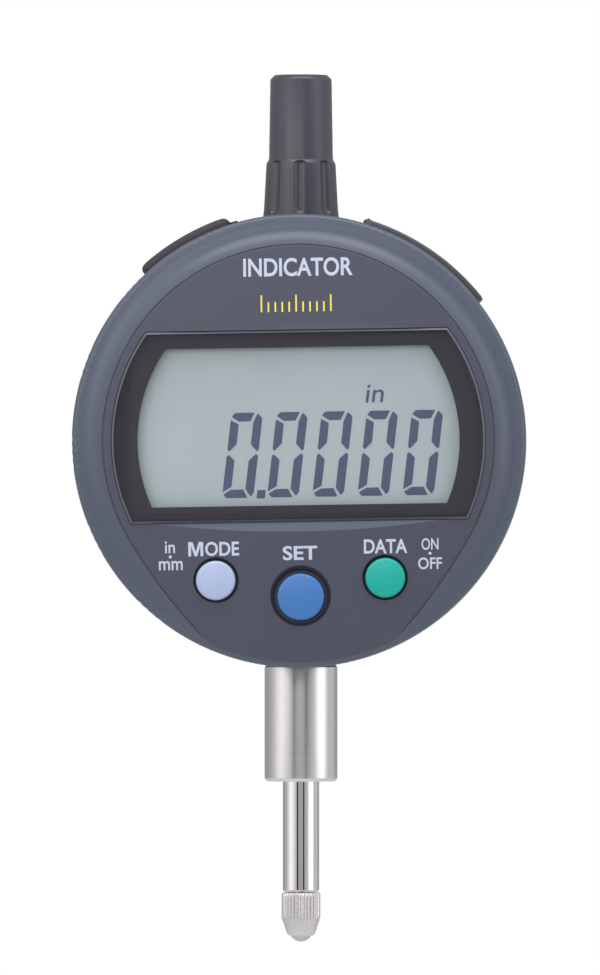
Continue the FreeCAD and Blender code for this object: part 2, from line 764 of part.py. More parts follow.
def connector_cover():
    """Rubber cover of the data socket: a strip on the rim with a plug and a finger nib."""
    strip = rim_cover(CONNECTOR_ANGLE, CONNECTOR_SPAN, 1.9, -4.3, 6.6)
    edges = [e for e in strip.Edges if e.Length > 10 and e.BoundBox.YLength > 10.5]
    outer = [e for e in edges if e.CenterOfMass.distanceToPoint(V(0, 1.15, DISPLAY_Z)) > CASE_R + 1]
    strip = strip.makeFillet(0.8, outer)
    nib = side_block(CONNECTOR_ANGLE - CONNECTOR_SPAN / 2 - 0.9, 29.25, 30.1, 0.55, -1.5, 3.8)
    plug = side_block(CONNECTOR_ANGLE, 27.0, 29.6, 4.9, -1.8, 4.4)
    return fuse([strip, nib, plug])


def battery_cover():
    """Cover of the battery bay, with its plug and screw hole."""
    strip = rim_cover(BATTERY_ANGLE, BATTERY_SPAN, 1.3, -4.3, 5.6)
    edges = [e for e in strip.Edges if e.BoundBox.YLength > 9.5]
    outer = [e for e in edges if e.CenterOfMass.distanceToPoint(V(0, 0.65, DISPLAY_Z)) > CASE_R + 1]
    strip = strip.makeChamfer(0.6, outer)
    body = fuse([strip, side_block(BATTERY_ANGLE, 26.9, 29.4, 6.2, -3.0, 2.7)])
    groove = side_block(BATTERY_ANGLE, 27.4, 28.1, 7.0, -4.0, 4.0)
    groove = groove.cut(side_block(BATTERY_ANGLE, 27.0, 28.6, 5.7, -2.5, 2.2))
    body = body.cut(groove)
    body = body.cut(side_rod(BATTERY_ANGLE, 1.3, 28.6, 32.0, 0.6, 7.9))
    return body.cut(side_rod(BATTERY_ANGLE, 0.8, 26.0, 32.0, 0.6, 7.9))


def battery_cover_seal():
    """Rubber seal in the groove of the battery cover's plug."""
    outer = side_block(BATTERY_ANGLE, 27.45, 28.05, 6.34, -3.14, 2.84)
    return outer.cut(side_block(BATTERY_ANGLE, 27.0, 28.5, 5.72, -2.52, 2.22))


def battery_cover_screw():
    """Captive screw of the battery cover."""
    head = side_rod(BATTERY_ANGLE, 1.2, 28.62, 29.15, 0.6, 7.9)
    slot = side_block(BATTERY_ANGLE, 28.9, 30.0, 0.15, -1.0, 2.2, 7.9)
    shank = side_rod(BATTERY_ANGLE, 0.7, 25.8, 28.62, 0.6, 7.9)
    return fuse([head.cut(slot), shank])


def turned_unit():
    """Pieces of the display unit, with the slight turn that the display is left at."""
    pieces = {
        "bezel": bezel(),
        "window": window(),
        "window_mask": window_mask(),
        "lcd_panel": lcd_panel(),
        "lcd_frame": lcd_frame(),
        "zebra_strips": zebra_strips(),
        "main_board": main_board(),
        "board_chips": board_chips(),
        "crystal": crystal(),
        "dome_switches": dome_switches(),
        "flex_socket": flex_socket(),
        "display_cover": display_cover(),
        "display_screws": display_screws(),
    }
    for name, (x, z, top_r, well_r) in BUTTONS.items():
        pieces[name] = button(x, z, top_r)
    return {name: spin(shape, DISPLAY_TURN) for name, shape in pieces.items()}


def fixed_and_sliding():
    """Pieces of the case, the spindle line and the covers."""
    return {
        "case_shell": case_shell(),
        "back_plate": back_plate(),
        "back_screws": back_screws(),
        "back_gasket": ring(28.45, 27.95, CASE_BACK_Y - 0.55, CASE_BACK_Y),
        "stem": stem(),
        "stem_nut": stem_nut(),
        "stem_wiper": tube(3.4, SPINDLE_R + RUNNING, 0.1, 1.0),
        "lower_bush": tube(3.4, SPINDLE_R + RUNNING, 1.05, 10.55),
        "upper_bush": tube(NIPPLE_R, SPINDLE_R + RUNNING, 68.6, NIPPLE_LOW - GAP),
        "bumper_ring": tube(3.9, 2.6, 27.05, STOP_Z - GAP),
        "nipple": nipple(),
        "guide_rail": guide_rail(),
        "guide_rail_screws": guide_rail_screws(),
        "spring_post": disc(0.5, -4.5, 1.3, SPRING_X, 29.7 - DISPLAY_Z),
        "sensor_board": sensor_board(),
        "sensor_board_screws": sensor_board_screws(),
        "sensor_chips": sensor_chips(),
        "detector_grid": block(-4.0, 4.0, 4.3, 4.5, 42.2, 54.5),
        "battery_tray": battery_tray(),
        "battery": battery(),
        "battery_contact_plus": battery_contact_plus(),
        "battery_contact_minus": battery_contact_minus(),
        "data_connector": data_connector(),
        "connector_pins": connector_pins(),
        "retainer_ring": ring(12.6, 9.2 + FIT, -7.9, -7.0),
        "turning_seal": ring(25.6, 24.6, CASE_FRONT_Y - 0.36, CASE_FRONT_Y + 0.48),
        "stop_pin": disc(0.8, -6.2, -4.05, *around(90, 20.0)),
        "flex_cable": flex_cable(),
        "spindle_rod": spindle_rod(),
        "scale_bracket": scale_bracket(),
        "bracket_screws": bracket_screws(),
        "encoder_scale": block(-3.8, 3.8, 3.6, 4.2, 28.8, 55.0),
        "guide_pin": guide_pin(),
        "return_spring": return_spring(),
        "contact_point": contact_point(),
        "contact_ball": Part.makeSphere(BALL_R, V(0, 0, TIP_Z + BALL_R)),
        "spindle_cap": spindle_cap(),
        "connector_cover": connector_cover(),
        "battery_cover": battery_cover(),
        "battery_cover_seal": battery_cover_seal(),
        "battery_cover_screw": battery_cover_screw(),
    }


os.makedirs("parts", exist_ok=True)
everything = turned_unit()
everything.update(fixed_and_sliding())
for name, shape in everything.items():
    solids = len(shape.Solids)
    if solids == 0 or not shape.isValid():
        raise ValueError(name + " is not a valid solid")
    shape.exportStep("parts/" + name + ".step")
    print(name, solids, round(shape.Volume, 2))
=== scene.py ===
import json
import math

import bmesh
import bpy
import numpy as np
from mathutils import Matrix, Vector, kdtree


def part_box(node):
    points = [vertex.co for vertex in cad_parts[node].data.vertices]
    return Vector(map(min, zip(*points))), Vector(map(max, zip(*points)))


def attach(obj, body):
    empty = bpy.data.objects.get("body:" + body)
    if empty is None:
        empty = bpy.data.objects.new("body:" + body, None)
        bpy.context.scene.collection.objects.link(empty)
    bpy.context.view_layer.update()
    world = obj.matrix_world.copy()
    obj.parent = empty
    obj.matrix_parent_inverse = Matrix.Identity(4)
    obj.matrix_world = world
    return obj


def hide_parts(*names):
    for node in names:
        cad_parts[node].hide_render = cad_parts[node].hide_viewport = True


# Looks of the digital indicator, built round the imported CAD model. Lengths are millimetres, and MM turns
# them into Blender's metres. +Z is up the spindle, the display faces -Y.

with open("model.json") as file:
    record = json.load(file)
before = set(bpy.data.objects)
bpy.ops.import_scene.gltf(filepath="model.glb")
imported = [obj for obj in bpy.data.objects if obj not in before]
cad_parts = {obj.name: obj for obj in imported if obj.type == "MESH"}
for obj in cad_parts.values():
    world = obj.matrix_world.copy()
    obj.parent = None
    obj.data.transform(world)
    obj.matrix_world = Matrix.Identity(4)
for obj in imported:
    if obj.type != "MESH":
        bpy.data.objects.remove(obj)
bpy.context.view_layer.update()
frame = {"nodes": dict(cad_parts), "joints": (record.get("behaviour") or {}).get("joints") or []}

MM = 0.001
TAU = 2 * math.pi
scene = bpy.context.scene


def node_box(name):
    """Lowest and highest corner of a CAD node, in millimetres."""
    low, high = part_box(name)
    return low / MM, high / MM


# ---- sizes that come from the frame

bezel_low, bezel_high = node_box("bezel")
window_low, window_high = node_box("window")
mask_high = node_box("window_mask")[1]
lcd_low, lcd_high = node_box("lcd_panel")
rod_low, rod_high = node_box("spindle_rod")
cap_low, cap_high = node_box("spindle_cap")
nipple_low, nipple_high = node_box("nipple")
ball_low, ball_high = node_box("contact_ball")
display_turn = next(joint for joint in frame["joints"] if joint["name"] == "display_turn")

AXIS_Z = display_turn["pos_m"][2] / MM
DOME_Y = bezel_low.y
BEZEL_R = round(bezel_high.x, 2)
BEZEL_BACK_Y = bezel_high.y
CASE_R = round(node_box("case_shell")[1].x, 2)
PLATE_Y = node_box("back_plate")[0].y

# ---- sizes of the display face, measured from the display axis

TURN = math.radians(0.9)
DOME_SPHERE_R = 324.0
RIM_Y = -13.2
PLATEAU_R = 25.45
COVE_R = 28.8
RIM_DEPTH = 0.8
CHIN_ANGLE = math.radians(30)
CHIN_ARC_R = 70.0
LIP_WIDTH = 0.2
GROOVE = 0.15
# Rounded lip of the domed face, and the fine line between it and the ring: offset and depth
PLATE_LIP = (
    (-0.16, 0.02), (-0.11, 0.07), (-0.07, 0.13),
    (-0.04, GROOVE + 0.09), (0.04, GROOVE + 0.09), (0.09, GROOVE),
)
# Openings in the face: radius, lowest and highest level of their cut-off circles
POCKET = (24.35, -10.6, 14.4)
OPENING = (20.9, -8.4, 12.1)
LEDGE = (23.2, -9.5, 13.2)
LEDGE_Y = -14.4
FACE_INNER_Y = -13.5
CRESCENT_SLOPE = math.radians(21)
CAVITY_R = 27.2
FACE_CAVITY_R = 25.8
BOARD_Y = -9.8
COVER_Y = -6.8
# Screw posts behind the face: their angles and distance, own radius, and the screw's bore
POST_ANGLES = (-30.0, 60.0, 120.0, 210.0)
POST_REACH = 24.9
POST_R = 1.9
POST_BORE_R = 0.83
POST_BORE_Y = -10.6

# Where the ring is narrower than this, the face's lip and the fine line fade out
FADE_WIDTH = 1.2

# Finger grips cut into the rim: patches of four shallow scallops that start on the ring and fade on the side
GRIP_PATCHES = range(-6, 7)
GRIP_SPACING = 23.0
GRIP_PITCH = 2.17
GRIP_HALF_WIDTH = 0.92
GRIP_DEPTH = 0.045
GRIP_START_R = 28.6
GRIP_FADE_Y = -12.4

# Buttons: well radius at the face and at its floor, well depth, crown sphere, edge rounding, finish
BUTTONS = {
    "mode_button": (2.96, 2.72, 0.75, 14.0, 0.42, "button_white"),
    "set_button": (3.98, 3.42, 0.95, 16.0, 0.45, "button_blue"),
    "data_button": (2.96, 2.72, 0.75, 14.0, 0.42, "button_green"),
}
COLLAR_WIDTH = 0.6


# ---- node helpers


def rgb(*levels):
    """Scene-linear colour from the usual 0-255 values."""
    shares = [level / 255 for level in levels]
    return *(v / 12.92 if v <= 0.04045 else ((v + 0.055) / 1.055) ** 2.4 for v in shares), 1.0


def shade_of(colour, factor):
    """The colour, darker or lighter."""
    return tuple(c * factor for c in colour[:3]) + (1.0,)


def add_node(tree, kind, inputs=None, **settings):
    """New node. An input's value is a number, a colour or another node's output."""
    made = tree.nodes.new(kind)
    for key, value in settings.items():
        setattr(made, key, value)
    for key, value in (inputs or {}).items():
        if isinstance(value, bpy.types.NodeSocket):
            tree.links.new(value, made.inputs[key])
        else:
            made.inputs[key].default_value = value
    return made


def start_material(name):
    """Material with an empty node tree, and its object coordinates."""
    material = bpy.data.materials.new(name)
    material.use_nodes = True
    tree = material.node_tree
    tree.nodes.clear()
    return material, tree, add_node(tree, "ShaderNodeTexCoord").outputs["Object"]


def surfaced(material, tree, inputs):
    """The material, given a Principled surface with those inputs."""
    shader = add_node(tree, "ShaderNodeBsdfPrincipled", inputs)
    add_node(tree, "ShaderNodeOutputMaterial", {"Surface": shader.outputs[0]})
    return material


def noise(tree, place, scale, detail=2.0, roughness=0.5, stretch=None):
    """Noise whose scale is per metre of the object."""
    if stretch:
        place = add_node(tree, "ShaderNodeMapping", {"Vector": place, "Scale": stretch}).outputs[0]
    inputs = {"Vector": place, "Scale": scale, "Detail": detail, "Roughness": roughness}
    return add_node(tree, "ShaderNodeTexNoise", inputs).outputs["Fac"]


def mixed(tree, fac, first, second, blend="MIX"):
    """Colour between two by a factor."""
    inputs = {0: fac, 6: first, 7: second}
    return add_node(tree, "ShaderNodeMix", inputs, data_type="RGBA", blend_type=blend).outputs[2]


def calculated(tree, operation, first, second):
    """Result of a calculation with two numbers."""
    return add_node(tree, "ShaderNodeMath", {0: first, 1: second}, operation=operation).outputs[0]


def ranged(tree, value, low, high, start=0.3, end=0.7):
    """The value's start to end spread to low to high."""
    inputs = {"Value": value, "From Min": start, "From Max": end, "To Min": low, "To Max": high}
    return add_node(tree, "ShaderNodeMapRange", inputs).outputs["Result"]


def bumped(tree, height, depth):
    """Normal from a height. depth is what the height's whole range measures, in millimetres."""
    inputs = {"Height": height, "Strength": 1.0, "Distance": depth * MM}
    return add_node(tree, "ShaderNodeBump", inputs).outputs["Normal"]


# ---- materials


def moulded(name, colour, roughness, grain=3600, depth=0.006, mottle=0.05, specular=0.5):
    """Moulded or painted surface: fine grain, faint cloudiness and uneven gloss."""
    material, tree, place = start_material(name)
    fine = noise(tree, place, grain, 3.0, 0.6)
    tone = mixed(tree, noise(tree, place, 120), shade_of(colour, 1 - mottle), shade_of(colour, 1 + mottle))
    return surfaced(material, tree, {
        "Base Color": mixed(tree, ranged(tree, fine, 0.0, 0.16), tone, shade_of(colour, 1.25)),
        "Roughness": ranged(tree, fine, roughness - 0.05, roughness + 0.07),
        "Specular IOR Level": specular,
        "Normal": bumped(tree, fine, depth),
    })


def metal(name, colour, roughness, lines=0.0, stretch=(60, 60, 9000)):
    """Machined metal: fine turning or grinding lines across stretch's longest axis, faint stains."""
    material, tree, place = start_material(name)
    streak = noise(tree, place, 1.0, 4.0, 0.7, stretch)
    stain = noise(tree, place, 260, 3.0)
    inputs = {
        "Base Color": mixed(tree, stain, shade_of(colour, 0.96), shade_of(colour, 1.04)),
        "Metallic": 1.0,
        "Roughness": ranged(tree, streak, roughness - 0.03, roughness + 0.04),
    }
    if lines:
        inputs["Normal"] = bumped(tree, streak, lines)
    return surfaced(material, tree, inputs)


def clear_glass():
    """Window glass: lets light through and mirrors more at a low angle, with a trace of wipe marks."""
    material, tree, place = start_material("cover_glass")
    smear = noise(tree, place, 300, 3.0, 0.6, (1, 1, 3))
    inside = add_node(tree, "ShaderNodeNewGeometry").outputs["Backfacing"]
    fresnel = add_node(tree, "ShaderNodeFresnel", {"IOR": 1.5}).outputs[0]
    return surfaced(material, tree, {
        "Base Color": (1, 1, 1, 1),
        "Metallic": 1.0,
        "Roughness": ranged(tree, smear, 0.02, 0.06),
        "Alpha": calculated(tree, "MULTIPLY", fresnel, calculated(tree, "SUBTRACT", 1.0, inside)),
    })


def liquid_crystal():
    """Grey-green face of the display cell, with the grain of its reflector and a faint cloud."""
    material, tree, place = start_material("lcd_face")
    grain = noise(tree, place, 5200, 2.0, 0.7)
    tone = mixed(tree, noise(tree, place, 90), LCD_SHADE, LCD_COLOUR)
    return surfaced(material, tree, {
        "Base Color": mixed(tree, ranged(tree, grain, 0.0, 0.12), tone, shade_of(LCD_COLOUR, 1.3)),
        "Roughness": ranged(tree, grain, 0.42, 0.55),
        "Specular IOR Level": 0.3,
        "Normal": bumped(tree, grain, 0.002),
    })


def circuit_board():
    """Green board with a fine pattern of traces under the varnish."""
    material, tree, place = start_material("board")
    laid = {"Vector": place, "Scale": (420, 1, 420), "Rotation": (math.pi / 2, 0, 0)}
    bricks = add_node(tree, "ShaderNodeTexBrick", {
        "Vector": add_node(tree, "ShaderNodeMapping", laid).outputs[0],
        "Color1": rgb(16, 74, 48),
        "Color2": rgb(20, 84, 52),
        "Mortar": rgb(52, 128, 84),
        "Scale": 1.0,
        "Mortar Size": 0.04,
    })
    return surfaced(material, tree, {
        "Base Color": bricks.outputs["Color"],
        "Roughness": ranged(tree, noise(tree, place, 900), 0.3, 0.42),
        "Normal": bumped(tree, bricks.outputs["Fac"], 0.01),
    })


def striped_rubber():
    """Elastomer strip with its many thin conducting layers."""
    material, tree, place = start_material("zebra")
    wave = add_node(tree, "ShaderNodeTexWave", {"Vector": place, "Scale": 1600.0, "Distortion": 0.2})
    stripes = mixed(tree, wave.outputs["Fac"], rgb(40, 40, 44), rgb(196, 160, 170))
    return surfaced(material, tree, {"Base Color": stripes, "Roughness": 0.6})


LCD_COLOUR = rgb(168, 180, 183)
LCD_SHADE = rgb(160, 172, 177)

# Plastics, paints and inks: colour, roughness, grain per metre, its depth, cloudiness, gloss
MOULDED = {
    "bezel_ring": ((75, 82, 97), 0.36, 4200),
    "bezel_face": ((66, 67, 83), 0.5, 4200),
    "bezel_well": ((62, 61, 72), 0.42, 3000, 0.004),
    "case_paint": ((70, 72, 82), 0.5, 2600, 0.012),
    "back_plate_paint": ((74, 76, 86), 0.46, 2400, 0.014),
    # Opaque grey on the window glass's chamfer: a painted highlight for the light line that the clear glass
    # edge catches
    "glass_edge_painted_glint": ((84, 86, 98), 0.3, 2600, 0.001, 0.02),
    "mask_black": ((36, 33, 46), 0.55, 9000, 0.0002, 0.02, 0.3),
    "lcd_ink": ((72, 79, 106), 0.5, 5000, 0.001, 0.03, 0.3),
    "white_ink": ((186, 195, 214), 0.55, 5000, 0.002, 0.02, 0.3),
    "yellow_ink": ((232, 218, 92), 0.55, 5000, 0.002, 0.02, 0.3),
    "button_white": ((165, 177, 208), 0.36, 2200, 0.002, 0.02),
    "button_blue": ((58, 112, 176), 0.36, 2200, 0.002, 0.02),
    "button_green": ((0, 163, 150), 0.36, 2200, 0.002, 0.02),
    "cap_plastic": ((60, 60, 70), 0.3, 3200, 0.002, 0.03, 0.42),
    "cover_plastic": ((66, 64, 76), 0.45, 3200),
    "rubber_dark": ((45, 43, 53), 0.62, 2600, 0.012),
    "frame_plastic": ((58, 58, 62), 0.5),
    "chip_black": ((34, 34, 36), 0.55, 6000),
    "flex_film": ((168, 96, 32), 0.35, 1500, 0.002),
    "scale_glass": ((150, 160, 158), 0.15, 5200, 0.001),
    "floor_paint": ((232, 232, 234), 0.7, 900, 0.02, 0.002, 0.2),
}
# Metals: colour, roughness, depth of the tool's lines, their scale along each axis
METALS = {
    "steel_ground": ((0.67, 0.645, 0.665), 0.24, 0.0005),
    "steel_hard": ((0.7, 0.675, 0.685), 0.07),
    "steel_knurled": ((0.66, 0.635, 0.65), 0.36, 0.002, (900, 900, 900)),
    "steel_screw": ((0.5, 0.5, 0.51), 0.28, 0.002, (60, 2500, 60)),
    "carbide": ((0.5, 0.51, 0.53), 0.16, 0.0003, (700, 700, 700)),
    "plated_contact": ((0.83, 0.62, 0.28), 0.25),
    "nickel_can": ((0.62, 0.6, 0.57), 0.24, 0.001),
    "bush_brass": ((0.72, 0.5, 0.24), 0.26, 0.001),
}
# Every finish by the name of its slot
finishes = {
    "cover_glass": clear_glass(),
    "lcd_glass": liquid_crystal(),
    "board_green": circuit_board(),
    "zebra_rubber": striped_rubber(),
}
for name, (colour, *rest) in MOULDED.items():
    finishes[name] = moulded(name, rgb(*colour), *rest)
for name, values in METALS.items():
    finishes[name] = metal(name, *values)
finishes["bezel_plastic"] = finishes["bezel_ring"]

for cad_piece in frame["nodes"].values():
    for held in cad_piece.material_slots:
        held.material = finishes[held.material.name]


# ---- placing: each placer maps a piece's own points into the row frame


def rotated(x, z, angle):
    """x and z turned by an angle about the display axis."""
    return x * math.cos(angle) - z * math.sin(angle), x * math.sin(angle) + z * math.cos(angle)


def around(degrees, radius):
    """x and z of a point at that angle and radius from the display axis."""
    return rotated(radius, 0, math.radians(degrees))


def on_face(x, y, z):
    """Point of the display, given from its axis."""
    x, z = rotated(x, z, TURN)
    return x, y, AXIS_Z + z


def on_case(x, y, z):
    """Point of the case, given from the display axis."""
    return x, y, AXIS_Z + z


def off_face(point):
    """x and z from the display axis of a point in the row frame, with the display's turn taken off."""
    return rotated(point.x, point.z - AXIS_Z, -TURN)


def at_face(x0, z0):
    """Placer for a piece turned about a line along Y through that point of the display."""
    return lambda x, y, height: on_face(x0 + x, height, z0 + y)


def at_case(x0, z0, axis_z=AXIS_Z):
    """Placer for a piece turned about a line along Y through that point of the case."""
    return lambda x, y, height: (x0 + x, height, axis_z + z0 + y)


def outward(degrees, along=0.0, depth=0.0):
    """Placer for a piece whose third axis points out from the display axis at that angle."""
    def place(across, y, out):
        x, z = rotated(out, along + across, math.radians(degrees))
        return x, depth + y, AXIS_Z + z
    return place


def on_rim(degrees):
    """Placer for a bar on the case's rim: first along the rim, second out from it, third in depth."""
    def place(along, out, depth):
        x, z = rotated(CASE_R + out, 0, math.radians(degrees) - along / CASE_R)
        return x, depth, AXIS_Z + z
    return place


# ---- outlines


def spread(start, end, count):
    """Evenly spaced values from start to end, in count steps."""
    return [start + (end - start) * k / count for k in range(count + 1)]


def quarter_turn(count):
    """Sine, and one minus the cosine, of evenly spaced angles from 0 to 90 degrees."""
    return [(math.sin(a), 1 - math.cos(a)) for a in spread(0, math.pi / 2, count)]


def smooth_step(value):
    value = np.clip(value, 0, 1)
    return value * value * (3 - 2 * value)


def dome_y(radius):
    """Depth of the domed face at a radius from the display axis."""
    return DOME_Y + DOME_SPHERE_R - np.sqrt(DOME_SPHERE_R ** 2 - np.square(radius))


def rounded(corners, closed=True, step=15.0):
    """Outline with an arc at each corner that has a third value, its radius."""
    outline = []
    count = len(corners)
    for index, corner in enumerate(corners):
        here = Vector(corner[:2])
        radius = corner[2] if len(corner) > 2 else 0.0
        if radius == 0.0 or (not closed and index in (0, count - 1)):
            outline.append(tuple(here))
            continue
        before = (Vector(corners[index - 1][:2]) - here).normalized()
        after = (Vector(corners[(index + 1) % count][:2]) - here).normalized()
        half = before.angle(after) / 2
        centre = here + (before + after).normalized() * radius / math.sin(half)
        start = here + before * radius / math.tan(half) - centre
        turn = start.angle_signed(here + after * radius / math.tan(half) - centre)
        pieces = max(2, math.ceil(abs(math.degrees(turn)) / step))
        for k in range(pieces + 1):
            outline.append(tuple(centre + Matrix.Rotation(-turn * k / pieces, 2) @ start))
    return outline


def rounded_box(x0, x1, y0, y1, radius):
    """Outline of a rectangle with rounded corners."""
    return rounded([(x0, y0, radius), (x1, y0, radius), (x1, y1, radius), (x0, y1, radius)])


def rod_profile(radius, start, end):
    """Profile of a plain rod from start to end along its axis."""
    return [(0, start), (radius, start), (radius, end), (0, end)]


def clipped_outline(radius, low, high):
    """Points of a circle about the display axis with its top and bottom cut flat."""
    angles = spread(math.asin(low / radius), math.asin(high / radius), 40)
    points = [rotated(radius, 0, angle) for angle in angles]
    return points + [(-x, z) for x, z in reversed(points)]


# ---- mesh helpers


def linked(name, data):
    """New object in the scene."""
    obj = bpy.data.objects.new(name, data)
    scene.collection.objects.link(obj)
    return obj


def new_object(name, verts, faces, materials, indices=None, place=None):
    """Mesh object from points in millimetres, without doubled points and with every face turned outward."""
    if place is not None:
        verts = [place(*v) for v in verts]
    mesh = bpy.data.meshes.new(name)
    mesh.from_pydata([tuple(c * MM for c in v) for v in verts], [], faces)
    for finish in materials:
        mesh.materials.append(finishes[finish])
    if indices is not None:
        mesh.polygons.foreach_set("material_index", indices)
    return tidy_mesh(linked(name, mesh))


def tidy_mesh(obj, merge=0.0005):
    """Merges points that coincide, drops what collapsed and turns every face outward."""
    work = bmesh.new()
    work.from_mesh(obj.data)
    bmesh.ops.remove_doubles(work, verts=work.verts, dist=merge * MM)
    bmesh.ops.dissolve_degenerate(work, edges=work.edges, dist=merge * MM / 10)
    bmesh.ops.recalc_face_normals(work, faces=work.faces)
    work.to_mesh(obj.data)
    work.free()
    return obj


def mesh_of(obj):
    """Mesh of the object, with its modifiers applied."""
    graph = bpy.context.evaluated_depsgraph_get()
    return bpy.data.meshes.new_from_object(obj.evaluated_get(graph), depsgraph=graph)


def combine(obj, other, operation):
    """Boolean of obj with another object, which is used up."""
    change = obj.modifiers.new("combine", "BOOLEAN")
    change.object = other
    change.operation = operation
    change.solver = "MANIFOLD"
    mesh = mesh_of(obj)
    obj.modifiers.clear()
    obj.data = mesh
    bpy.data.objects.remove(other)


def settle(obj, sharp=32.0):
    """Shades smooth across edges blunter than the angle."""
    obj.data.shade_smooth()
    obj.data.set_sharp_from_angle(angle=math.radians(sharp))
    return obj


def finished(obj, body, slot, *replaced):
    """Hangs the piece on the empty of the body it rides on and hides the CAD nodes it stands for. slot is not
    used.
    """
    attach(obj, body)
    if replaced:
        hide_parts(*replaced)


def ring_faces(rings):
    """Faces between rings of point numbers. A ring may be one number over and over, for a tip."""
    faces = []
    for low, high in zip(rings, rings[1:]):
        for k in range(len(low)):
            after = (k + 1) % len(low)
            corners = list(dict.fromkeys([low[k], low[after], high[after], high[k]]))
            if len(corners) > 2:
                faces.append(corners)
    return faces


def lathe(profile, segments, closed=False):
    """Points and faces of a turned solid about the third axis, from (radius, height) points."""
    verts, rings = [], []
    for radius, height in profile:
        if radius < 1e-9:
            rings.append([len(verts)] * segments)
            verts.append((0.0, 0.0, height))
            continue
        rings.append(list(range(len(verts), len(verts) + segments)))
        for k in range(segments):
            angle = TAU * k / segments
            verts.append((radius * math.cos(angle), radius * math.sin(angle), height))
    return verts, ring_faces(rings + rings[:1] if closed else rings)


def reshaped(verts, radius_at):
    """The turned points, each at what radius_at gives for its radius, its share of a turn and its z."""
    moved = []
    for x, y, z in verts:
        radius = math.hypot(x, y)
        scale = radius_at(radius, math.atan2(y, x) / TAU, z) / radius if radius else 1
        moved.append((x * scale, y * scale, z))
    return moved


def turned(name, profile, materials, segments=96, closed=False, place=None, index=0):
    """Turned solid. Without a placer its axis is the spindle's."""
    verts, faces = lathe(profile, segments, closed)
    return new_object(name, verts, faces, materials, [index] * len(faces), place)


def closed_grid(rows, first, last):
    """Points and faces of a closed solid from rings of points, each end closed round a middle point."""
    count = len(rows[0])
    verts = [tuple(point) for row in rows for point in row] + [first, last]
    rings = [range(k, k + count) for k in range(0, len(rows) * count, count)]
    return verts, ring_faces([[len(verts) - 2] * count] + rings + [[len(verts) - 1] * count])


def stack(loops):
    """Points and faces of a closed solid from outlines with the same number of points."""
    count = len(loops[0])
    verts = [point for loop in loops for point in loop]
    rings = [list(range(k, k + count)) for k in range(0, len(verts), count)]
    return verts, [rings[0], rings[-1]] + ring_faces(rings)


def stacked(name, loops, materials, index=0, place=None):
    """Solid from outlines with the same number of points, joined one to the next."""
    verts, faces = stack(loops)
    return new_object(name, verts, faces, materials, [index] * len(faces), place)


def slab(name, outline, front, back, materials, index=0, place=on_face):
    """Flat solid with that outline of (x, z) points, between two depths."""
    loops = [[(x, y, z) for x, z in outline] for y in (front, back)]
    return stacked(name, loops, materials, index, place)


# ---- bezel


def plateau_edge(angle):
    """Radius where the domed face ends: a circle, and below it two long arcs that run out to the rim."""
    lowest = 1.5 * math.pi
    angle = angle % TAU
    if abs(angle - lowest) >= math.pi / 2 - CHIN_ANGLE:
        return PLATEAU_R
    reach = CHIN_ARC_R - PLATEAU_R
    side = 1 if angle < lowest else -1
    centre_x, centre_z = side * reach * math.cos(CHIN_ANGLE), reach * math.sin(CHIN_ANGLE)
    along = math.cos(angle) * centre_x + math.sin(angle) * centre_z
    return min(along + math.sqrt(along ** 2 + CHIN_ARC_R ** 2 - reach ** 2), COVE_R)


def bezel_columns():
    """Angles of the bezel's columns: close together across the grips, wider between them."""
    half = 2 * GRIP_PITCH
    fine = GRIP_PITCH / 10
    angles = []
    for patch in GRIP_PATCHES:
        middle = 90 + patch * GRIP_SPACING
        angles.extend(middle + k * fine for k in range(-20, 21))
        if patch != GRIP_PATCHES[-1]:
            angles.extend(spread(middle + half, middle + GRIP_SPACING - half, 12)[1:-1])
    angles.extend(spread(angles[-1], angles[0] + 360, 64)[1:-1])
    return np.radians(angles)


def grip_pattern(angles):
    """How deep the scallops are at each angle, from 0 to 1."""
    degrees = np.degrees(angles)
    depth = np.zeros(len(angles))
    for patch in GRIP_PATCHES:
        for groove in range(4):
            middle = 90 + patch * GRIP_SPACING + (groove - 1.5) * GRIP_PITCH
            depth = np.maximum(depth, 1 - ((degrees - middle) / GRIP_HALF_WIDTH) ** 2)
    return depth


def grid_normals(points):
    """Outward normals of a grid of points, rows by columns, that closes on itself along its columns."""
    along = np.roll(points, -1, 1) - np.roll(points, 1, 1)
    across = np.gradient(points, axis=0)
    normals = np.cross(across, along)
    lengths = np.linalg.norm(normals, axis=2, keepdims=True)
    return normals / np.maximum(lengths, 1e-12)


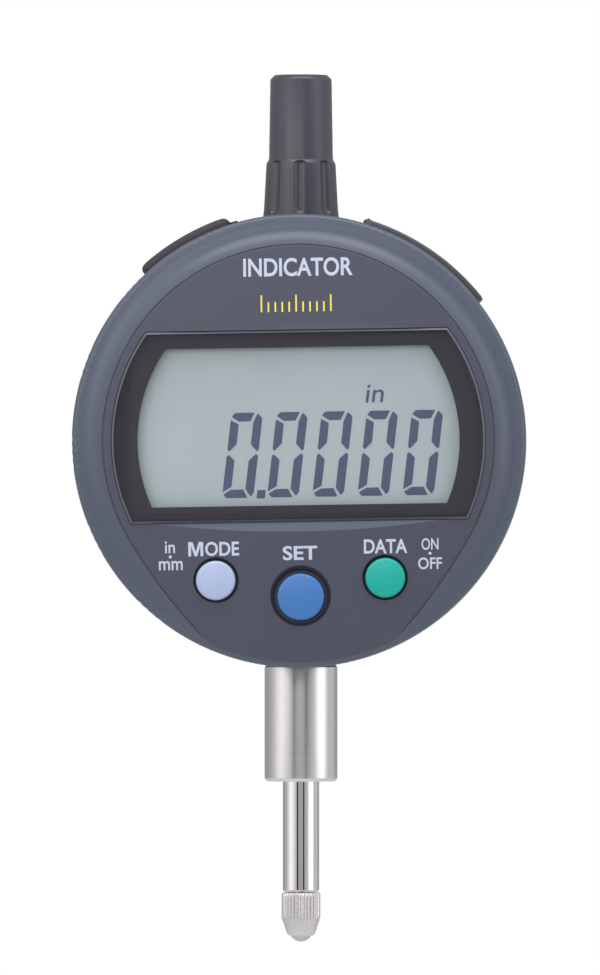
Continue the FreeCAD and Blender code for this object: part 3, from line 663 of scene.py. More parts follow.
def bezel_front():
    """Grid of the bezel's outer surface, rows by columns, and how many rows belong to the domed face."""
    angles = bezel_columns()
    edge = np.array([plateau_edge(a) for a in angles])
    width = COVE_R - edge
    fade = smooth_step(width / FADE_WIDTH)
    rows = []
    lip = edge - LIP_WIDTH * fade
    for share in (0.32, 0.5, 0.65, 0.78, 0.88, 0.95, 0.985, 1.0):
        rows.append((lip * share, dome_y(lip * share)))
    for offset, depth in PLATE_LIP:
        rows.append((edge + offset * fade, dome_y(edge) + depth * fade))
    face_rows = len(rows) - 3
    inner_r, inner_y = rows[-1]
    full_drop = RIM_Y - dome_y(PLATEAU_R) - GROOVE
    drop = full_drop * (width / (COVE_R - PLATEAU_R)) ** 1.5
    for k in range(1, 21):
        share = (k / 20) ** 1.6
        radius = inner_r + (COVE_R - inner_r) * share
        rows.append((radius, inner_y + drop * (1 - (1 - share) ** 2.5)))
    edge_y = rows[-1][1]
    for out, back in quarter_turn(7)[1:]:
        rows.append((COVE_R + (BEZEL_R - COVE_R) * out + 0 * edge, edge_y + RIM_DEPTH * back))
    flank_y = rows[-1][1]
    for y in spread(flank_y, BEZEL_BACK_Y - 0.25, 12)[1:]:
        rows.append((BEZEL_R + 0 * edge, y))
    radius = np.array([r for r, y in rows])
    depth = np.array([y for r, y in rows])
    points = np.stack([radius * np.cos(angles), depth, radius * np.sin(angles)], axis=2)
    ring_share = smooth_step((radius - GRIP_START_R) / 0.5)
    flank_share = 1 - smooth_step((depth - GRIP_FADE_Y) / 3.0)
    push = GRIP_DEPTH * grip_pattern(angles) * ring_share * flank_share
    points -= grid_normals(points) * push[:, :, None]
    return points, face_rows


def bezel_solid(points, face_rows):
    """Closed solid from the outer grid and the plain cavity behind it. Faces of the face are slot 0, of the
    ring slot 1, of the inside slot 2."""
    rows, columns = points.shape[:2]
    angles = np.arctan2(points[-1, :, 2], points[-1, :, 0])
    inside = [
        (BEZEL_R - 0.25, BEZEL_BACK_Y), (CAVITY_R, BEZEL_BACK_Y), (CAVITY_R, BOARD_Y),
        (FACE_CAVITY_R, BOARD_Y), (FACE_CAVITY_R, FACE_INNER_Y),
    ]
    rings = list(points) + [[(r * math.cos(a), y, r * math.sin(a)) for a in angles] for r, y in inside]
    verts, faces = closed_grid(rings, (0.0, DOME_Y, 0.0), (0.0, FACE_INNER_Y, 0.0))
    slots = [0] * (face_rows + 1) + [1] * (rows - face_rows) + [2] * len(inside)
    indices = [slot for slot in slots for k in range(columns)]
    return new_object("bezel_shell", verts, faces, ["bezel_face", "bezel_ring", "bezel_well"], indices)


def face_normals(obj, points):
    """Smooth normals for the outer surface from the grid it was made from; a cut's own faces keep theirs."""
    normals = grid_normals(points).reshape(-1, 3)
    flat = points.reshape(-1, 3)
    tree = kdtree.KDTree(len(flat))
    for index, point in enumerate(flat):
        tree.insert(point, index)
    tree.balance()
    centre = np.array((0.0, DOME_Y + DOME_SPHERE_R, 0.0))
    mesh = obj.data
    custom = []
    for polygon in mesh.polygons:
        own = np.array(polygon.normal)
        for index in polygon.vertices:
            point = np.array(mesh.vertices[index].co) / MM
            _, nearest, distance = tree.find(point)
            away = point - centre
            smooth = normals[nearest] if distance < 0.002 else away / np.linalg.norm(away)
            of_a_cut = polygon.material_index > 1 or own @ smooth < 0.97 and distance >= 0.002
            custom.append((0.0, 0.0, 0.0) if of_a_cut else tuple(smooth))
    settle(obj)
    mesh.normals_split_custom_set(custom)


def crescent_cutter():
    """Wedge that slopes the face down to the window along its top and bottom edges."""
    start = -15.5
    front = DOME_Y - 0.2
    run = (start - front) / math.tan(CRESCENT_SLOPE)
    low, high = POCKET[1:]
    section = [(start, low), (start, high), (front, high + run), (front, low - run)]
    return stacked("cutter", [[(x, y, z) for y, z in section] for x in (-30, 30)], [], 1)


def build_bezel():
    """Round housing with its posts, window pocket and button wells, as yet upright and on its own axis."""
    points, face_rows = bezel_front()
    obj = bezel_solid(points, face_rows)
    for angle in POST_ANGLES:
        place = at_case(*around(angle, POST_REACH), 0)
        post = rod_profile(POST_R, FACE_INNER_Y - 0.05, COVER_Y)
        combine(obj, turned("post", post, [], 32, place=place), "UNION")
        bore = rod_profile(POST_BORE_R, POST_BORE_Y, COVER_Y + 1)
        combine(obj, turned("bore", bore, [], 24, place=place), "DIFFERENCE")
    combine(obj, crescent_cutter(), "DIFFERENCE")
    for size, front, back in ((POCKET, DOME_Y - 1, LEDGE_Y), (LEDGE, DOME_Y, FACE_INNER_Y + 1)):
        combine(obj, slab("cutter", clipped_outline(*size), front, back, [], 2, None), "DIFFERENCE")
    for node, (well_r, floor_r, depth, *_) in BUTTONS.items():
        x, z, radius = button_place(node)
        surface = float(dome_y(math.hypot(x, z)))
        hole = radius + 0.07
        profile = [
            (0, surface - 1), (well_r + (well_r - floor_r) / depth, surface - 1), (floor_r, surface + depth),
            (hole, surface + depth), (hole, FACE_INNER_Y + 1), (0, FACE_INNER_Y + 1),
        ]
        cutter = turned("cutter", profile, [], 128, place=at_case(x, z, 0), index=2)
        combine(obj, cutter, "DIFFERENCE")
    return obj, points


def button_place(node):
    """x and z of a button's middle on the display, and the radius of its top."""
    low, high = node_box(node)
    return *off_face((low + high) / 2), (high.x - low.x) / 2 - COLLAR_WIDTH


bezel_shell, bezel_points = build_bezel()
face_normals(bezel_shell, bezel_points)
bezel_shell.data.transform(Matrix.Translation((0, 0, AXIS_Z * MM)) @ Matrix.Rotation(TURN, 4, (0, -1, 0)))
finished(bezel_shell, "display_unit", "bezel_plastic", "bezel")


# ---- window and liquid crystal cell


def build_window():
    """Cover glass with a chamfered front edge whose chamfer carries a painted highlight, and the black border
    printed behind it.
    """
    radius, low, high = POCKET
    gap, chamfer = 0.12, 0.25
    edge = (radius - gap, low + gap, high - gap)
    inset = (edge[0] - chamfer, edge[1] + chamfer, edge[2] - chamfer)
    front, back = window_low.y, window_high.y
    levels = ((inset, front), (edge, front + chamfer), (edge, back))
    loops = [[(x, y, z) for x, z in clipped_outline(*size)] for size, y in levels]
    verts, faces = stack(loops)
    around_edge = len(loops[0])
    # The chamfer's faces get the opaque grey glass-edge finish, a painted highlight for the light line along
    # the clear edge
    indices = [0, 0] + [1] * around_edge + [0] * around_edge
    pane = new_object("window_glass", verts, faces, ["cover_glass", "glass_edge_painted_glint"], indices, on_face)
    finished(settle(pane), "display_unit", "cover_glass", "window")
    outline = clipped_outline(24.1, low + 0.25, high - 0.25)
    border = slab("window_print", outline, back, mask_high.y, ["mask_black"])
    combine(border, slab("cutter", clipped_outline(*OPENING), back - 1, mask_high.y + 1, []), "DIFFERENCE")
    finished(settle(border), "display_unit", "mask_black", "window_mask")


LCD_SIZE = (21.4, -9.0, 12.7)
LCD_MIDDLE_Y = (lcd_low.y + lcd_high.y) / 2
LCD_LEDGE = 1.8


def build_cell():
    """Liquid crystal cell: front glass with its contact ledges, and the back glass between them."""
    half, low, high = LCD_SIZE
    outline = rounded_box(-half, half, low, high, 0.3)
    front_glass = slab("lcd_cell", outline, lcd_low.y, LCD_MIDDLE_Y, ["lcd_glass"])
    outline = rounded_box(-half, half, low + LCD_LEDGE, high - LCD_LEDGE, 0.3)
    back_glass = slab("back_glass", outline, LCD_MIDDLE_Y - 0.02, lcd_high.y, ["lcd_glass"])
    combine(front_glass, back_glass, "UNION")
    finished(settle(front_glass), "display_unit", "lcd_glass", "lcd_panel")


# ---- ink on the cell and on the face

# A seven-segment nought, upright, from its lower left corner: each bar's corners with their rounding
DIGIT_HEIGHT = 11.04
DIGIT_WIDTH = 4.07
DIGIT_SLANT = math.tan(math.radians(7.4))
DIGIT_BARS = (
    ((0.07, 10.54, 0.12), (0.45, 11.04, 0.3), (2.99, 11.04), (2.57, 9.93, 0.1), (1.09, 9.9, 0.1)),
    ((3.39, 11.0, 0.15), (4.07, 10.3, 0.4), (4.07, 6.2, 0.1), (3.86, 6.0, 0.1), (2.97, 6.94, 0.1),
     (2.97, 9.77, 0.1)),
    ((3.78, 5.69, 0.12), (4.07, 5.38, 0.12), (4.07, 0.7, 0.3), (3.74, 0.1, 0.15), (2.93, 1.13, 0.1),
     (2.93, 4.83, 0.1)),
    ((0.12, 0.47, 0.1), (0.6, 0.0, 0.3), (3.3, 0.0), (2.62, 1.1, 0.1), (1.03, 1.06, 0.1)),
    ((0.21, 5.62, 0.12), (0.0, 5.35, 0.1), (0.0, 0.8), (1.08, 1.44, 0.1), (1.07, 4.88, 0.1)),
    ((0.0, 10.1), (1.08, 9.55, 0.1), (1.12, 7.0, 0.1), (0.25, 6.0, 0.12), (0.0, 6.35, 0.1)),
)
DIGIT_CENTRES = [-7.33 + 5.86 * k for k in range(5)]
DIGIT_Z = -1.8
POINT_CORNER = (-5.6, -7.42)
POINT_SIZE = 1.08


def ink_ground(on_cell, x, z):
    """Depth of the surface that the ink lies on: the cell, or the domed face."""
    return lcd_low.y if on_cell else float(dome_y(math.hypot(x, z)))


def ink_plates(name, outlines, finish, on_cell=False):
    """Thin printed shapes, in one piece."""
    verts, faces = [], []
    for outline in outlines:
        lifts = (-0.03, 0.02) if on_cell else (-0.012, 0.02)
        loops = [[(x, ink_ground(on_cell, x, z) + lift, z) for x, z in outline] for lift in lifts]
        more_verts, more_faces = stack(loops)
        faces.extend([[len(verts) + i for i in face] for face in more_faces])
        verts.extend(more_verts)
    piece = new_object(name, verts, faces, [finish], place=on_face)
    if on_cell:
        settle(piece)
    finished(piece, "display_unit", "lcd_glass" if on_cell else "bezel_plastic")


def slanted(outline, x, z):
    """The upright outline, leaning like the display's figures, with its lower left corner at x, z."""
    return [(x + u + v * DIGIT_SLANT, z + v) for u, v in outline]


def build_reading():
    """Five noughts and the decimal point."""
    lean = DIGIT_WIDTH / 2 + DIGIT_HEIGHT * DIGIT_SLANT / 2
    for index, centre in enumerate(DIGIT_CENTRES):
        corner = (centre - lean, DIGIT_Z - DIGIT_HEIGHT / 2)
        bars = [slanted(rounded(bar), *corner) for bar in DIGIT_BARS]
        ink_plates(f"digit_{index + 1}", bars, "lcd_ink", True)
    square = rounded_box(0, POINT_SIZE, 0, POINT_SIZE, 0.08)
    ink_plates("decimal_point", [slanted(square, *POINT_CORNER)], "lcd_ink", True)


def lettering(name, text, centre, size, weight, finish="white_ink", on_cell=False, slant=0.0):
    """Printed word. centre and size are (across, up) on the display, in millimetres."""
    curve = bpy.data.curves.new(name, "FONT")
    curve.body = text
    curve.offset = weight
    curve.shear = slant
    curve.extrude = 0.01
    curve.resolution_u = 5
    holder = linked(name, curve)
    mesh = mesh_of(holder)
    bpy.data.objects.remove(holder)
    points = np.array([v.co for v in mesh.vertices])
    low, high = points.min(0), points.max(0)
    scale = np.array(size) / (high - low)[:2]
    front, back = (-0.024, 0.008) if on_cell else (-0.012, 0.02)
    for vertex, point in zip(mesh.vertices, points):
        x, z = np.array(centre) + (point[:2] - (low + high)[:2] / 2) * scale
        y = ink_ground(on_cell, x, z) + (front if point[2] > 0 else back)
        vertex.co = [c * MM for c in on_face(x, y, z)]
    mesh.materials.clear()
    mesh.materials.append(finishes[finish])
    slot = "lcd_glass" if on_cell else "bezel_plastic"
    finished(tidy_mesh(linked(name, mesh)), "display_unit", slot)


# Words on the face: text, centre, size, weight of the strokes
LEGENDS = {
    "print_mode": ("ODE", (-10.1, -13.9), (4.4, 1.85), 0.022),
    "print_set": ("SET", (0.0, -14.6), (4.47, 1.85), 0.022),
    "print_data": ("DATA", (11.1, -13.9), (5.63, 1.85), 0.022),
    "print_inch": ("in", (-16.87, -13.6), (1.3, 1.55), 0.012),
    "print_metric": ("mm", (-16.8, -15.97), (3.1, 1.2), 0.012),
    "print_on": ("ON", (16.87, -13.7), (2.2, 1.53), 0.014),
    "print_off": ("OFF", (16.84, -16.2), (3.1, 1.53), 0.014),
    "print_title": ("INDICATOR", (0.3, 22.5), (14.2, 2.4), 0.02),
}
# The first letter of MODE, drawn here: lower left corner, size and outline in shares of the size
LETTER_M_CORNER = (-14.5, -14.82)
LETTER_M_SIZE = (1.95, 1.85)
LETTER_M = (
    (0.0, 0.0), (0.19, 0.0), (0.19, 0.74), (0.41, 0.0), (0.59, 0.0), (0.81, 0.74), (0.81, 0.0), (1.0, 0.0),
    (1.0, 1.0), (0.71, 1.0), (0.5, 0.3), (0.29, 1.0), (0.0, 1.0),
)
DOTS = {"print_dot_left": (-16.85, -14.85), "print_dot_right": (16.85, -14.9)}
DOT_R = 0.2
SCALE_MARK_LOW = 16.7
SCALE_STEP = 0.9


def build_printing():
    """Button legends, a plain title and a small yellow graduation mark."""
    for name, word in LEGENDS.items():
        lettering(name, *word)
    for name, (x, z) in DOTS.items():
        angles = [TAU * k / 24 for k in range(24)]
        ring = [(x + DOT_R * math.cos(angle), z + DOT_R * math.sin(angle)) for angle in angles]
        ink_plates(name, [ring], "white_ink")
    x, z = LETTER_M_CORNER
    wide, tall = LETTER_M_SIZE
    ink_plates("print_mode_m", [[(x + wide * u, z + tall * v) for u, v in LETTER_M]], "white_ink")
    ticks = []
    for k in range(-5, 6):
        x, low = k * SCALE_STEP, SCALE_MARK_LOW
        high = low + (2.2 if k % 5 == 0 else 1.3)
        ticks.append([(x - 0.1, low), (x + 0.1, low), (x + 0.1, high), (x - 0.1, high)])
    ink_plates("print_scale_mark", ticks, "yellow_ink")
    lettering("unit_inch", "in", (9.95, 5.95), (2.4, 2.3), 0.004, "lcd_ink", True, 0.14)


# ---- buttons


def build_button(node):
    """Crowned push button with its collar behind the face and its plunger."""
    crown, edge, finish = BUTTONS[node][3:]
    low, high = node_box(node)
    x, z, radius = button_place(node)
    flat = radius - edge
    profile = [(r, low.y + crown - math.sqrt(crown ** 2 - r ** 2)) for r in spread(0, flat, 8)]
    shoulder = profile[-1][1]
    profile += [(flat + edge * out, shoulder + edge * back) for out, back in quarter_turn(8)[1:]]
    collar = FACE_INNER_Y + 0.02
    profile += [
        (radius, collar), (radius + COLLAR_WIDTH, collar), (radius + COLLAR_WIDTH, collar + 0.78),
        (1.2, collar + 0.78), (1.2, high.y), (0, high.y),
    ]
    piece = turned(node + "_top", profile, [finish], place=at_face(x, z))
    finished(settle(piece), node, finish, node)


# ---- spindle line

FLUTES = 8
FLUTE_CUTTER_R = 1.1
FLUTE_INSET = 0.58
FLUTE_LOW = cap_low.z + 1.25
SHOULDER_Z = cap_low.z + 7.05
SHOULDER_TOP = cap_low.z + 7.65
# The cap's outside without its flutes, as heights and radii: tapered skirt, shoulder, slimmer barrel
CAP_HEIGHTS = (
    cap_low.z, cap_low.z + 0.12, SHOULDER_Z - 0.15, SHOULDER_Z + 0.1, SHOULDER_TOP - 0.12,
    SHOULDER_TOP + 0.18, cap_high.z - 0.62, cap_high.z - 0.5, cap_high.z - 0.06, cap_high.z,
)
CAP_RADII = (4.86, 4.95, 4.592, 4.53, 4.23, 4.175, 4.01, 3.95, 3.5, 3.4)


def cap_radius(z):
    """Outer radius of the cap at a height, without its flutes."""
    return float(np.interp(z, CAP_HEIGHTS, CAP_RADII))


def flute_shape(z):
    """Half angle of a flute at a height, and the cutter's radius and distance from the axis there."""
    centre = cap_radius(min(z, SHOULDER_Z)) + FLUTE_INSET
    cutter = FLUTE_CUTTER_R
    if z < FLUTE_LOW:
        cutter = math.sqrt(max(FLUTE_CUTTER_R ** 2 - (FLUTE_LOW - z) ** 2, 0))
    if z > SHOULDER_Z:
        centre += 1.1 * ((z - SHOULDER_Z) / (SHOULDER_TOP + 0.1 - SHOULDER_Z)) ** 2.5
    outer = cap_radius(z)
    reach = (outer ** 2 + centre ** 2 - cutter ** 2) / (2 * outer * centre)
    if centre - cutter >= outer or reach >= 1:
        return 0.0, cutter, centre
    return math.acos(reach), cutter, centre


def cap_ring(z):
    """Radius and angle of each point round the cap at a height."""
    outer = cap_radius(z)
    half, cutter, centre = flute_shape(z)
    pitch = TAU / FLUTES
    ring = []
    for flute in range(FLUTES):
        middle = -math.pi / 2 + flute * pitch
        for share in [k / 6 for k in range(-6, 7)]:
            away = share * half
            drop = max(cutter ** 2 - (centre * math.sin(away)) ** 2, 0)
            radius = min(outer, centre * math.cos(away) - math.sqrt(drop)) if half > 0 else outer
            ring.append((radius, middle + away))
        ring.extend((outer, angle) for angle in spread(middle + half, middle + pitch - half, 6)[1:-1])
    return ring


def build_cap():
    """Spindle cap, open below, with finger flutes in its skirt."""
    heights = [cap_low.z, cap_low.z + 0.12] + spread(cap_low.z + 0.3, FLUTE_LOW, 8)
    heights += spread(FLUTE_LOW, SHOULDER_Z - 0.15, 8)[1:] + spread(SHOULDER_Z, SHOULDER_TOP + 0.18, 12)
    heights += CAP_HEIGHTS[-4:]
    rings = [(z, cap_ring(z)) for z in heights]
    start, count = rings[-1][1][0][1], len(rings[-1][1])
    even = [start + TAU * k / count for k in range(count)]
    ceiling = cap_high.z - 1.5
    lip = cap_low.z + 0.95
    inside = [(3.0, ceiling), (3.0, 79.9), (3.45, 79.9), (3.45, lip), (4.2, lip), (4.2, cap_low.z)]
    rings = [(z, [(radius, angle) for angle in even]) for radius, z in inside] + rings
    rows = [[(r * math.cos(a), r * math.sin(a), z) for r, a in ring] for z, ring in rings]
    verts, faces = closed_grid(rows, (0, 0, ceiling), (0, 0, cap_high.z))
    piece = tidy_mesh(new_object("cap", verts, faces, ["cap_plastic"]), 0.002)
    finished(settle(piece, 28), "cap", "cap_plastic", "spindle_cap")


THREAD_PITCH = 0.75
THREAD_DEPTH = 0.28


def build_nipple():
    """Threaded tube that the cap screws onto."""
    low, high = nipple_low.z, nipple_high.z
    bore, outer, collar = 2.6, 3.4, 4.0
    root = outer - THREAD_DEPTH
    collar_low, collar_high = 73.55, 74.3
    start, end = 74.5, high - 0.35
    turns = int((end - start) / THREAD_PITCH * 12)
    profile = [(bore, low), (outer, low), (outer, collar_low), (collar, collar_low)]
    profile += [(collar, collar_high), (root, collar_high)]
    profile += [(root, z) for z in spread(start, end, turns)]
    profile += [(outer - 0.3, high), (bore, high)]
    verts, faces = lathe(profile, 72, closed=True)

    def threaded(radius, share, z):
        if not start <= z <= end or radius < 3.0:
            return radius
        ridge = 1 - abs(2 * ((z / THREAD_PITCH - share) % 1) - 1) * 1.25
        fade = min((z - start) / 0.4, (end - z) / 0.4, 1)
        return radius + THREAD_DEPTH * max(min(ridge, 0.9), 0) / 0.9 * fade

    piece = new_object("nipple_thread", reshaped(verts, threaded), faces, ["steel_ground"])
    finished(settle(piece, 75), "case", "steel_ground", "nipple")


def build_stem():
    """Ground stem, chamfered below, with its bore."""
    outer, neck, bush_bore, bore = 4.7625, 4.1, 3.43, 2.7
    bush_top, shoulder, top = 10.6, 15.0, node_box("stem")[1].z
    profile = rounded([
        (bush_bore, 0.0, 0.05), (outer - 0.36, 0.0, 0.06), (outer, 0.4, 0.1), (outer, shoulder, 0.1),
        (neck, shoulder), (neck, top, 0.2), (bore, top, 0.2), (bore, bush_top), (bush_bore, bush_top),
    ])
    piece = turned("stem_tube", profile, ["steel_ground"], 160, closed=True)
    finished(settle(piece), "case", "steel_ground", "stem")


def build_spindle():
    """Polished spindle with rounded ends and the hole that the contact point screws into."""
    radius, hole, low, high = 2.38, 1.25, rod_low.z, rod_high.z
    profile = rounded([
        (0, low + 6), (hole, low + 6), (hole, low, 0.08), (radius - 0.15, low, 0.06),
        (radius, low + 0.2, 0.08), (radius, high - 0.3, 0.1), (radius - 0.3, high, 0.1), (0, high),
    ], closed=False)
    piece = turned("spindle", profile, ["steel_hard"], 128)
    finished(settle(piece), "spindle", "steel_hard", "spindle_rod")


KNURL_TEETH = 30
KNURL_DEPTH = 0.12
BALL_SEAT_R = 1.53
TIP_LOW = -20.15


def build_contact_point():
    """Contact point: threaded shank, straight-knurled grip and cone, with its ball."""
    grip_top, grip_low = -14.75, -17.75
    top = node_box("contact_point")[1].z
    profile = [(0, top), (1.2, top), (1.2, -14.5), (2.26, -14.5), (2.4, -14.55)]
    profile += [(2.54, z) for z in spread(grip_top, grip_low, 8)]
    profile += [(2.42, -18.1), (1.93, -19.6), (1.86, -19.8), (1.74, -20.0), (1.56, -20.12), (1.5, TIP_LOW)]
    centre = (ball_low.z + ball_high.z) / 2
    for angle in spread(math.asin((TIP_LOW - centre) / BALL_SEAT_R), math.pi / 2, 8):
        profile.append((BALL_SEAT_R * math.cos(angle), centre + BALL_SEAT_R * math.sin(angle)))
    verts, faces = lathe(profile, KNURL_TEETH * 8)

    def knurled(radius, share, z):
        if radius < 2.39:
            return radius
        valley = max(0.0, abs(2 * (share * KNURL_TEETH % 1) - 1) * 1.6 - 0.6)
        fade = min(max((z + 18.1) / 0.35, 0), 1) if z < grip_low else 1
        return radius - KNURL_DEPTH * valley * fade

    piece = new_object("contact_tip", reshaped(verts, knurled), faces, ["steel_knurled"])
    finished(settle(piece), "spindle", "steel_ground", "contact_point")
    radius = (ball_high.z - ball_low.z) / 2
    angles = spread(-math.pi / 2, math.pi / 2, 32)[1:-1]
    profile = [(radius * math.cos(angle), centre + radius * math.sin(angle)) for angle in angles]
    profile = [(0, ball_low.z)] + profile + [(0, ball_high.z)]
    finished(settle(turned("tip_ball", profile, ["carbide"], 64)), "spindle", "carbide", "contact_ball")


# ---- covers on the case's rim

DATA_ANGLE = 120.5
DATA_NIB_ANGLE = 107.1
BATTERY_ANGLE = 56


def rim_bar(name, finish, degrees, angle, height, front, back, edge, corner):
    """Bar bent round that angle of the case's rim. edge and corner round its outer edges and its corners."""
    gap = 0.05
    half = CASE_R * math.radians(angle) / 2
    outline = rounded_box(-half, half, front, back, corner)
    dense = []
    for a, b in zip(outline, outline[1:] + outline[:1]):
        steps = max(1, int(math.dist(a, b) / 0.5))
        dense.extend(zip(spread(a[0], b[0], steps)[:-1], spread(a[1], b[1], steps)[:-1]))
    loops = [[(x, gap, y) for x, y in dense]]
    middle = (front + back) / 2
    for rise, draw in quarter_turn(6):
        share_x = 1 - edge * draw / half
        share_y = 1 - edge * draw / ((back - front) / 2)
        out = height - edge + edge * rise
        loops.append([(x * share_x, out, middle + (y - middle) * share_y) for x, y in dense])
    for share in (0.75, 0.5, 0.25, 0.0):
        lengthwise = 0.7 + 0.3 * share
        loops.append([(x * lengthwise, out, middle + (y - middle) * share) for x, out, y in loops[7]])
    verts, faces = stack(loops)
    del faces[1]
    return new_object(name, verts, faces, [finish], place=on_rim(degrees))


def side_block(degrees, low, high, half, front, back):
    """Block that points outward at that angle: low to high out from the axis, half to each side."""
    outline = rounded_box(-half, half, front, back, 0.3)
    return stacked("block", [[(t, y, u) for t, y in outline] for u in (low, high)], [], 0, outward(degrees))


def build_covers():
    """Rubber cover of the data socket, and the screwed cover of the battery bay."""
    cover = rim_bar(
        "data_cover", "rubber_dark", DATA_ANGLE, 25,
        height=1.85, front=-4.3, back=6.6, edge=0.85, corner=1.3,
    )
    combine(cover, side_block(DATA_ANGLE, low=27.0, high=29.6, half=4.9, front=-1.8, back=4.4), "UNION")
    combine(cover, side_block(DATA_NIB_ANGLE, low=29.25, high=30.05, half=0.5, front=-1.5, back=3.8), "UNION")
    finished(settle(cover), "connector_cover", "rubber_dark", "connector_cover")
    cover = rim_bar(
        "bay_cover", "cover_plastic", BATTERY_ANGLE, 36,
        height=1.27, front=-4.3, back=5.6, edge=0.4, corner=0.9,
    )
    combine(cover, side_block(BATTERY_ANGLE, low=26.9, high=29.4, half=6.2, front=-3.0, back=2.7), "UNION")
    recess = [(0, 28.6), (1.3, 28.6), (1.3, 29.6), (1.75, 30.4), (1.75, 31), (0, 31)]
    for profile, segments in ((recess, 48), (rod_profile(0.8, 26.5, 31), 32)):
        cutter = turned("cutter", profile, [], segments, place=outward(BATTERY_ANGLE, along=7.9, depth=0.6))
        combine(cover, cutter, "DIFFERENCE")
    finished(settle(cover), "battery_cover", "cover_plastic", "battery_cover")


# ---- back

LUG_CENTRE_Y = 16.5
LUG_R = 6.35
LUG_HALF = 3.175
LUG_EDGE = 0.45
LUG_HOLE_R = 3.2
PLATE_BACK_Y = 9.5
PLATE_SCREW_R = 25.0
PLATE_SCREW_ANGLES = (20.0, 160.0, 225.0, 315.0)


def lug_outline(inset):
    """The lug's outline as (y, z) points, drawn in evenly, with its foot left in the plate."""
    share = (LUG_R - inset) / LUG_R
    foot = PLATE_BACK_Y - 0.5
    top = LUG_R - inset
    outline = [(foot, top)]
    for angle in spread(0, math.pi, 32):
        outline.append((LUG_CENTRE_Y + LUG_R * math.sin(angle) * share, LUG_R * math.cos(angle) * share))
    return outline + [(foot, -top)]


def build_lug():
    """Flat lug with rounded edges and a countersunk hole."""
    near = [(LUG_EDGE * back - LUG_HALF, LUG_EDGE * (1 - out)) for out, back in quarter_turn(4)]
    levels = near + [(-x, inset) for x, inset in reversed(near)]
    loops = [[(x, y, z) for y, z in lug_outline(inset)] for x, inset in levels]
    lug = stacked("lug", loops, ["back_plate_paint"], 0, on_case)
    wide, straight = LUG_HOLE_R + 1.85, LUG_HALF - 0.35
    bore = [(0, -5), (wide, -5), (LUG_HOLE_R, -straight), (LUG_HOLE_R, straight), (wide, 5), (0, 5)]
    across = lambda x, y, height: (height, LUG_CENTRE_Y + x, AXIS_Z + y)
    combine(lug, turned("cutter", bore, [], place=across), "DIFFERENCE")
    return lug


def build_back():
    """Back plate with its raised foot, the centre lug and the screws' seats."""
    back = PLATE_BACK_Y
    profile = rounded([
        (0, PLATE_Y), (CASE_R, PLATE_Y, 0.08), (CASE_R, back, 0.45), (9.4, back, 0.5), (9.0, back + 0.8, 0.3),
        (0, back + 0.8),
    ], closed=False, step=12)
    plate = turned("rear_plate", profile, ["back_plate_paint"], 192, place=at_case(0, 0))
    combine(plate, build_lug(), "UNION")
    seat = [
        (0, PLATE_Y - 1), (1.1, PLATE_Y - 1), (1.1, back - 0.8), (1.95, back - 0.8), (1.95, back - 0.12),
        (2.2, back + 0.2), (0, back + 0.2),
    ]
    for angle in PLATE_SCREW_ANGLES:
        cutter = turned("cutter", seat, [], 48, place=at_case(*around(angle, PLATE_SCREW_R)))
        combine(plate, cutter, "DIFFERENCE")
    finished(settle(plate), "case", "back_plate_paint", "back_plate")


def build_back_screws():
    """Four pan-head screws with cross recesses, in one piece."""
    top = PLATE_BACK_Y - 0.05
    seat = top - 0.73
    profile = rounded([
        (0, 2.4), (0.7, 2.4, 0.1), (1.0, 2.9, 0.1), (1.0, seat), (1.9, seat, 0.08), (1.9, top, 0.28),
        (0, top),
    ], closed=False)
    screws = []
    for index, angle in enumerate(PLATE_SCREW_ANGLES):
        x, z = around(angle, PLATE_SCREW_R)
        screws.append(turned("plate_screws", profile, ["steel_screw"], 48, place=at_case(x, z)))
        for turn in (20 + 37 * index, 110 + 37 * index):
            (ax, az), (bx, bz) = around(turn, 1.05), around(turn + 90, 0.17)
            signs = ((-1, -1), (1, -1), (1, 1), (-1, 1))
            outline = [(x + i * ax + j * bx, z + i * az + j * bz) for i, j in signs]
            cutter = slab("cutter", outline, top - 0.5, top + 0.5, [], place=on_case)
            combine(screws[-1], cutter, "DIFFERENCE")
    for other in screws[1:]:
        combine(screws[0], other, "UNION")
    finished(settle(screws[0]), "case", "steel_screw", "back_screws")


build_window()
build_cell()
build_reading()
build_printing()
for button in BUTTONS:
    build_button(button)
build_cap()
build_nipple()
build_stem()
build_spindle()
build_contact_point()
build_covers()
build_back()
build_back_screws()


# ---- studio

# Brightness round the room, by degrees from the camera's side, positive to its right
STUDIO_AROUND = (
    (-180, 0.22), (-125, 0.24), (-95, 0.38), (-76, 0.66), (-62, 0.78), (-50, 0.62), (-33, 0.42),
    (-26, 0.27), (-23, 0.0), (-18, 0.0), (-15, 0.25), (-5, 0.29), (0, 0.24), (9, 0.31), (13, 0.26),
    (15, 0.0), (20, 0.0), (23, 0.26), (38, 0.34), (48, 0.48), (56, 0.9), (64, 1.0), (78, 1.0), (88, 0.55),
    (98, 0.33), (120, 0.42), (135, 0.24), (179, 0.22),
)
# Brightness by height, from straight down at 0 to straight up at 1
STUDIO_UP = ((0.0, 0.5), (0.45, 0.9), (0.6, 0.9), (0.8, 1.0), (1.0, 1.0))
STUDIO_STRENGTH = 2.0


def grey_ramp(tree, fac, stops):
    """Grey by a factor, from (place, brightness) stops in rising order."""
    ramp = add_node(tree, "ShaderNodeValToRGB", {"Fac": fac})
    elements = ramp.color_ramp.elements
    elements.remove(elements[1])
    for index, (place, value) in enumerate(stops):
        element = elements[0] if index == 0 else elements.new(place)
        element.position = place
        element.color = (value, value, value, 1)
    return ramp.outputs["Color"]


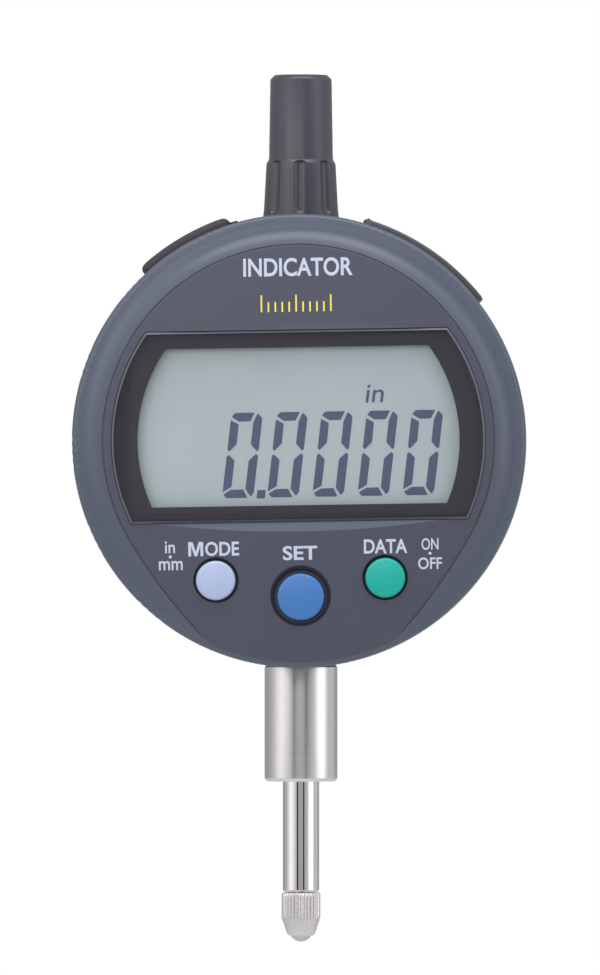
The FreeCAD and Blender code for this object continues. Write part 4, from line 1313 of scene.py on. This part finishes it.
def studio_world():
    """Soft room: a bright zone to each side, a grey centre behind the camera, lighter towards the ceiling."""
    world = bpy.data.worlds.new("studio")
    world.use_nodes = True
    tree = world.node_tree
    tree.nodes.clear()
    direction = add_node(tree, "ShaderNodeTexCoord").outputs["Generated"]
    parts = add_node(tree, "ShaderNodeSeparateXYZ", {"Vector": direction}).outputs
    azimuth = calculated(tree, "ARCTAN2", parts["X"], calculated(tree, "MULTIPLY", parts["Y"], -1.0))
    stops = [(0.5 + degrees / 360, value) for degrees, value in STUDIO_AROUND]
    sides = grey_ramp(tree, ranged(tree, azimuth, 0.0, 1.0, -math.pi, math.pi), stops)
    height = grey_ramp(tree, ranged(tree, parts["Z"], 0.0, 1.0, -1.0, 1.0), STUDIO_UP)
    light = {"Color": mixed(tree, 1.0, sides, height, "MULTIPLY"), "Strength": STUDIO_STRENGTH}
    room = add_node(tree, "ShaderNodeBackground", light)
    backdrop = add_node(tree, "ShaderNodeBackground", {"Color": (1, 1, 1, 1), "Strength": 1.0})
    seen = add_node(tree, "ShaderNodeLightPath").outputs["Is Camera Ray"]
    both = add_node(tree, "ShaderNodeMixShader", {0: seen, 1: room.outputs[0], 2: backdrop.outputs[0]})
    add_node(tree, "ShaderNodeOutputWorld", {"Surface": both.outputs[0]})
    scene.world = world


def softbox(name, place, width, height, power):
    """Area light at a place in metres that looks at the middle of the display."""
    lamp = bpy.data.lights.new(name, "AREA")
    lamp.shape = "RECTANGLE"
    lamp.size, lamp.size_y = width, height
    lamp.energy = power
    obj = linked(name, lamp)
    obj.location = place
    away = Vector(place) - Vector((0, 0, AXIS_Z * MM))
    obj.rotation_euler = away.to_track_quat("Z", "Y").to_euler()


def studio_floor():
    """Plain pale floor well below the gauge, in metres."""
    size, height = 1.5, -0.3
    verts = [(-size, -size, height), (size, -size, height), (size, size, height), (-size, size, height)]
    mesh = bpy.data.meshes.new("floor")
    mesh.from_pydata(verts, [], [(0, 1, 2, 3)])
    mesh.materials.append(finishes["floor_paint"])
    linked("floor", mesh)


CAMERA_AZIMUTH = math.radians(1.3)
CAMERA_ELEVATION = math.radians(-0.4)
CAMERA_DISTANCE = 2.0
CAMERA_AIM = Vector((-0.00013, 0.0, 0.0384))


def studio_camera():
    """Long lens, nearly straight on, slightly from the right and below."""
    lens = bpy.data.cameras.new("camera")
    lens.sensor_fit = "VERTICAL"
    lens.sensor_height = 36.0
    lens.lens = 565.0
    lens.clip_start = 0.05
    obj = linked("camera", lens)
    across, up = CAMERA_AZIMUTH, CAMERA_ELEVATION
    back = Vector((math.sin(across) * math.cos(up), -math.cos(across) * math.cos(up), math.sin(up)))
    obj.location = CAMERA_AIM + back * CAMERA_DISTANCE
    obj.rotation_euler = back.to_track_quat("Z", "Y").to_euler()
    scene.camera = obj


studio_world()
softbox("softbox_top", (0.0, -0.22, 0.71), width=0.7, height=0.35, power=3.0)
softbox("softbox_left", (-0.13, -0.33, 0.17), width=0.44, height=0.16, power=0.45)
studio_floor()
studio_camera()
scene.view_settings.view_transform = "Standard"
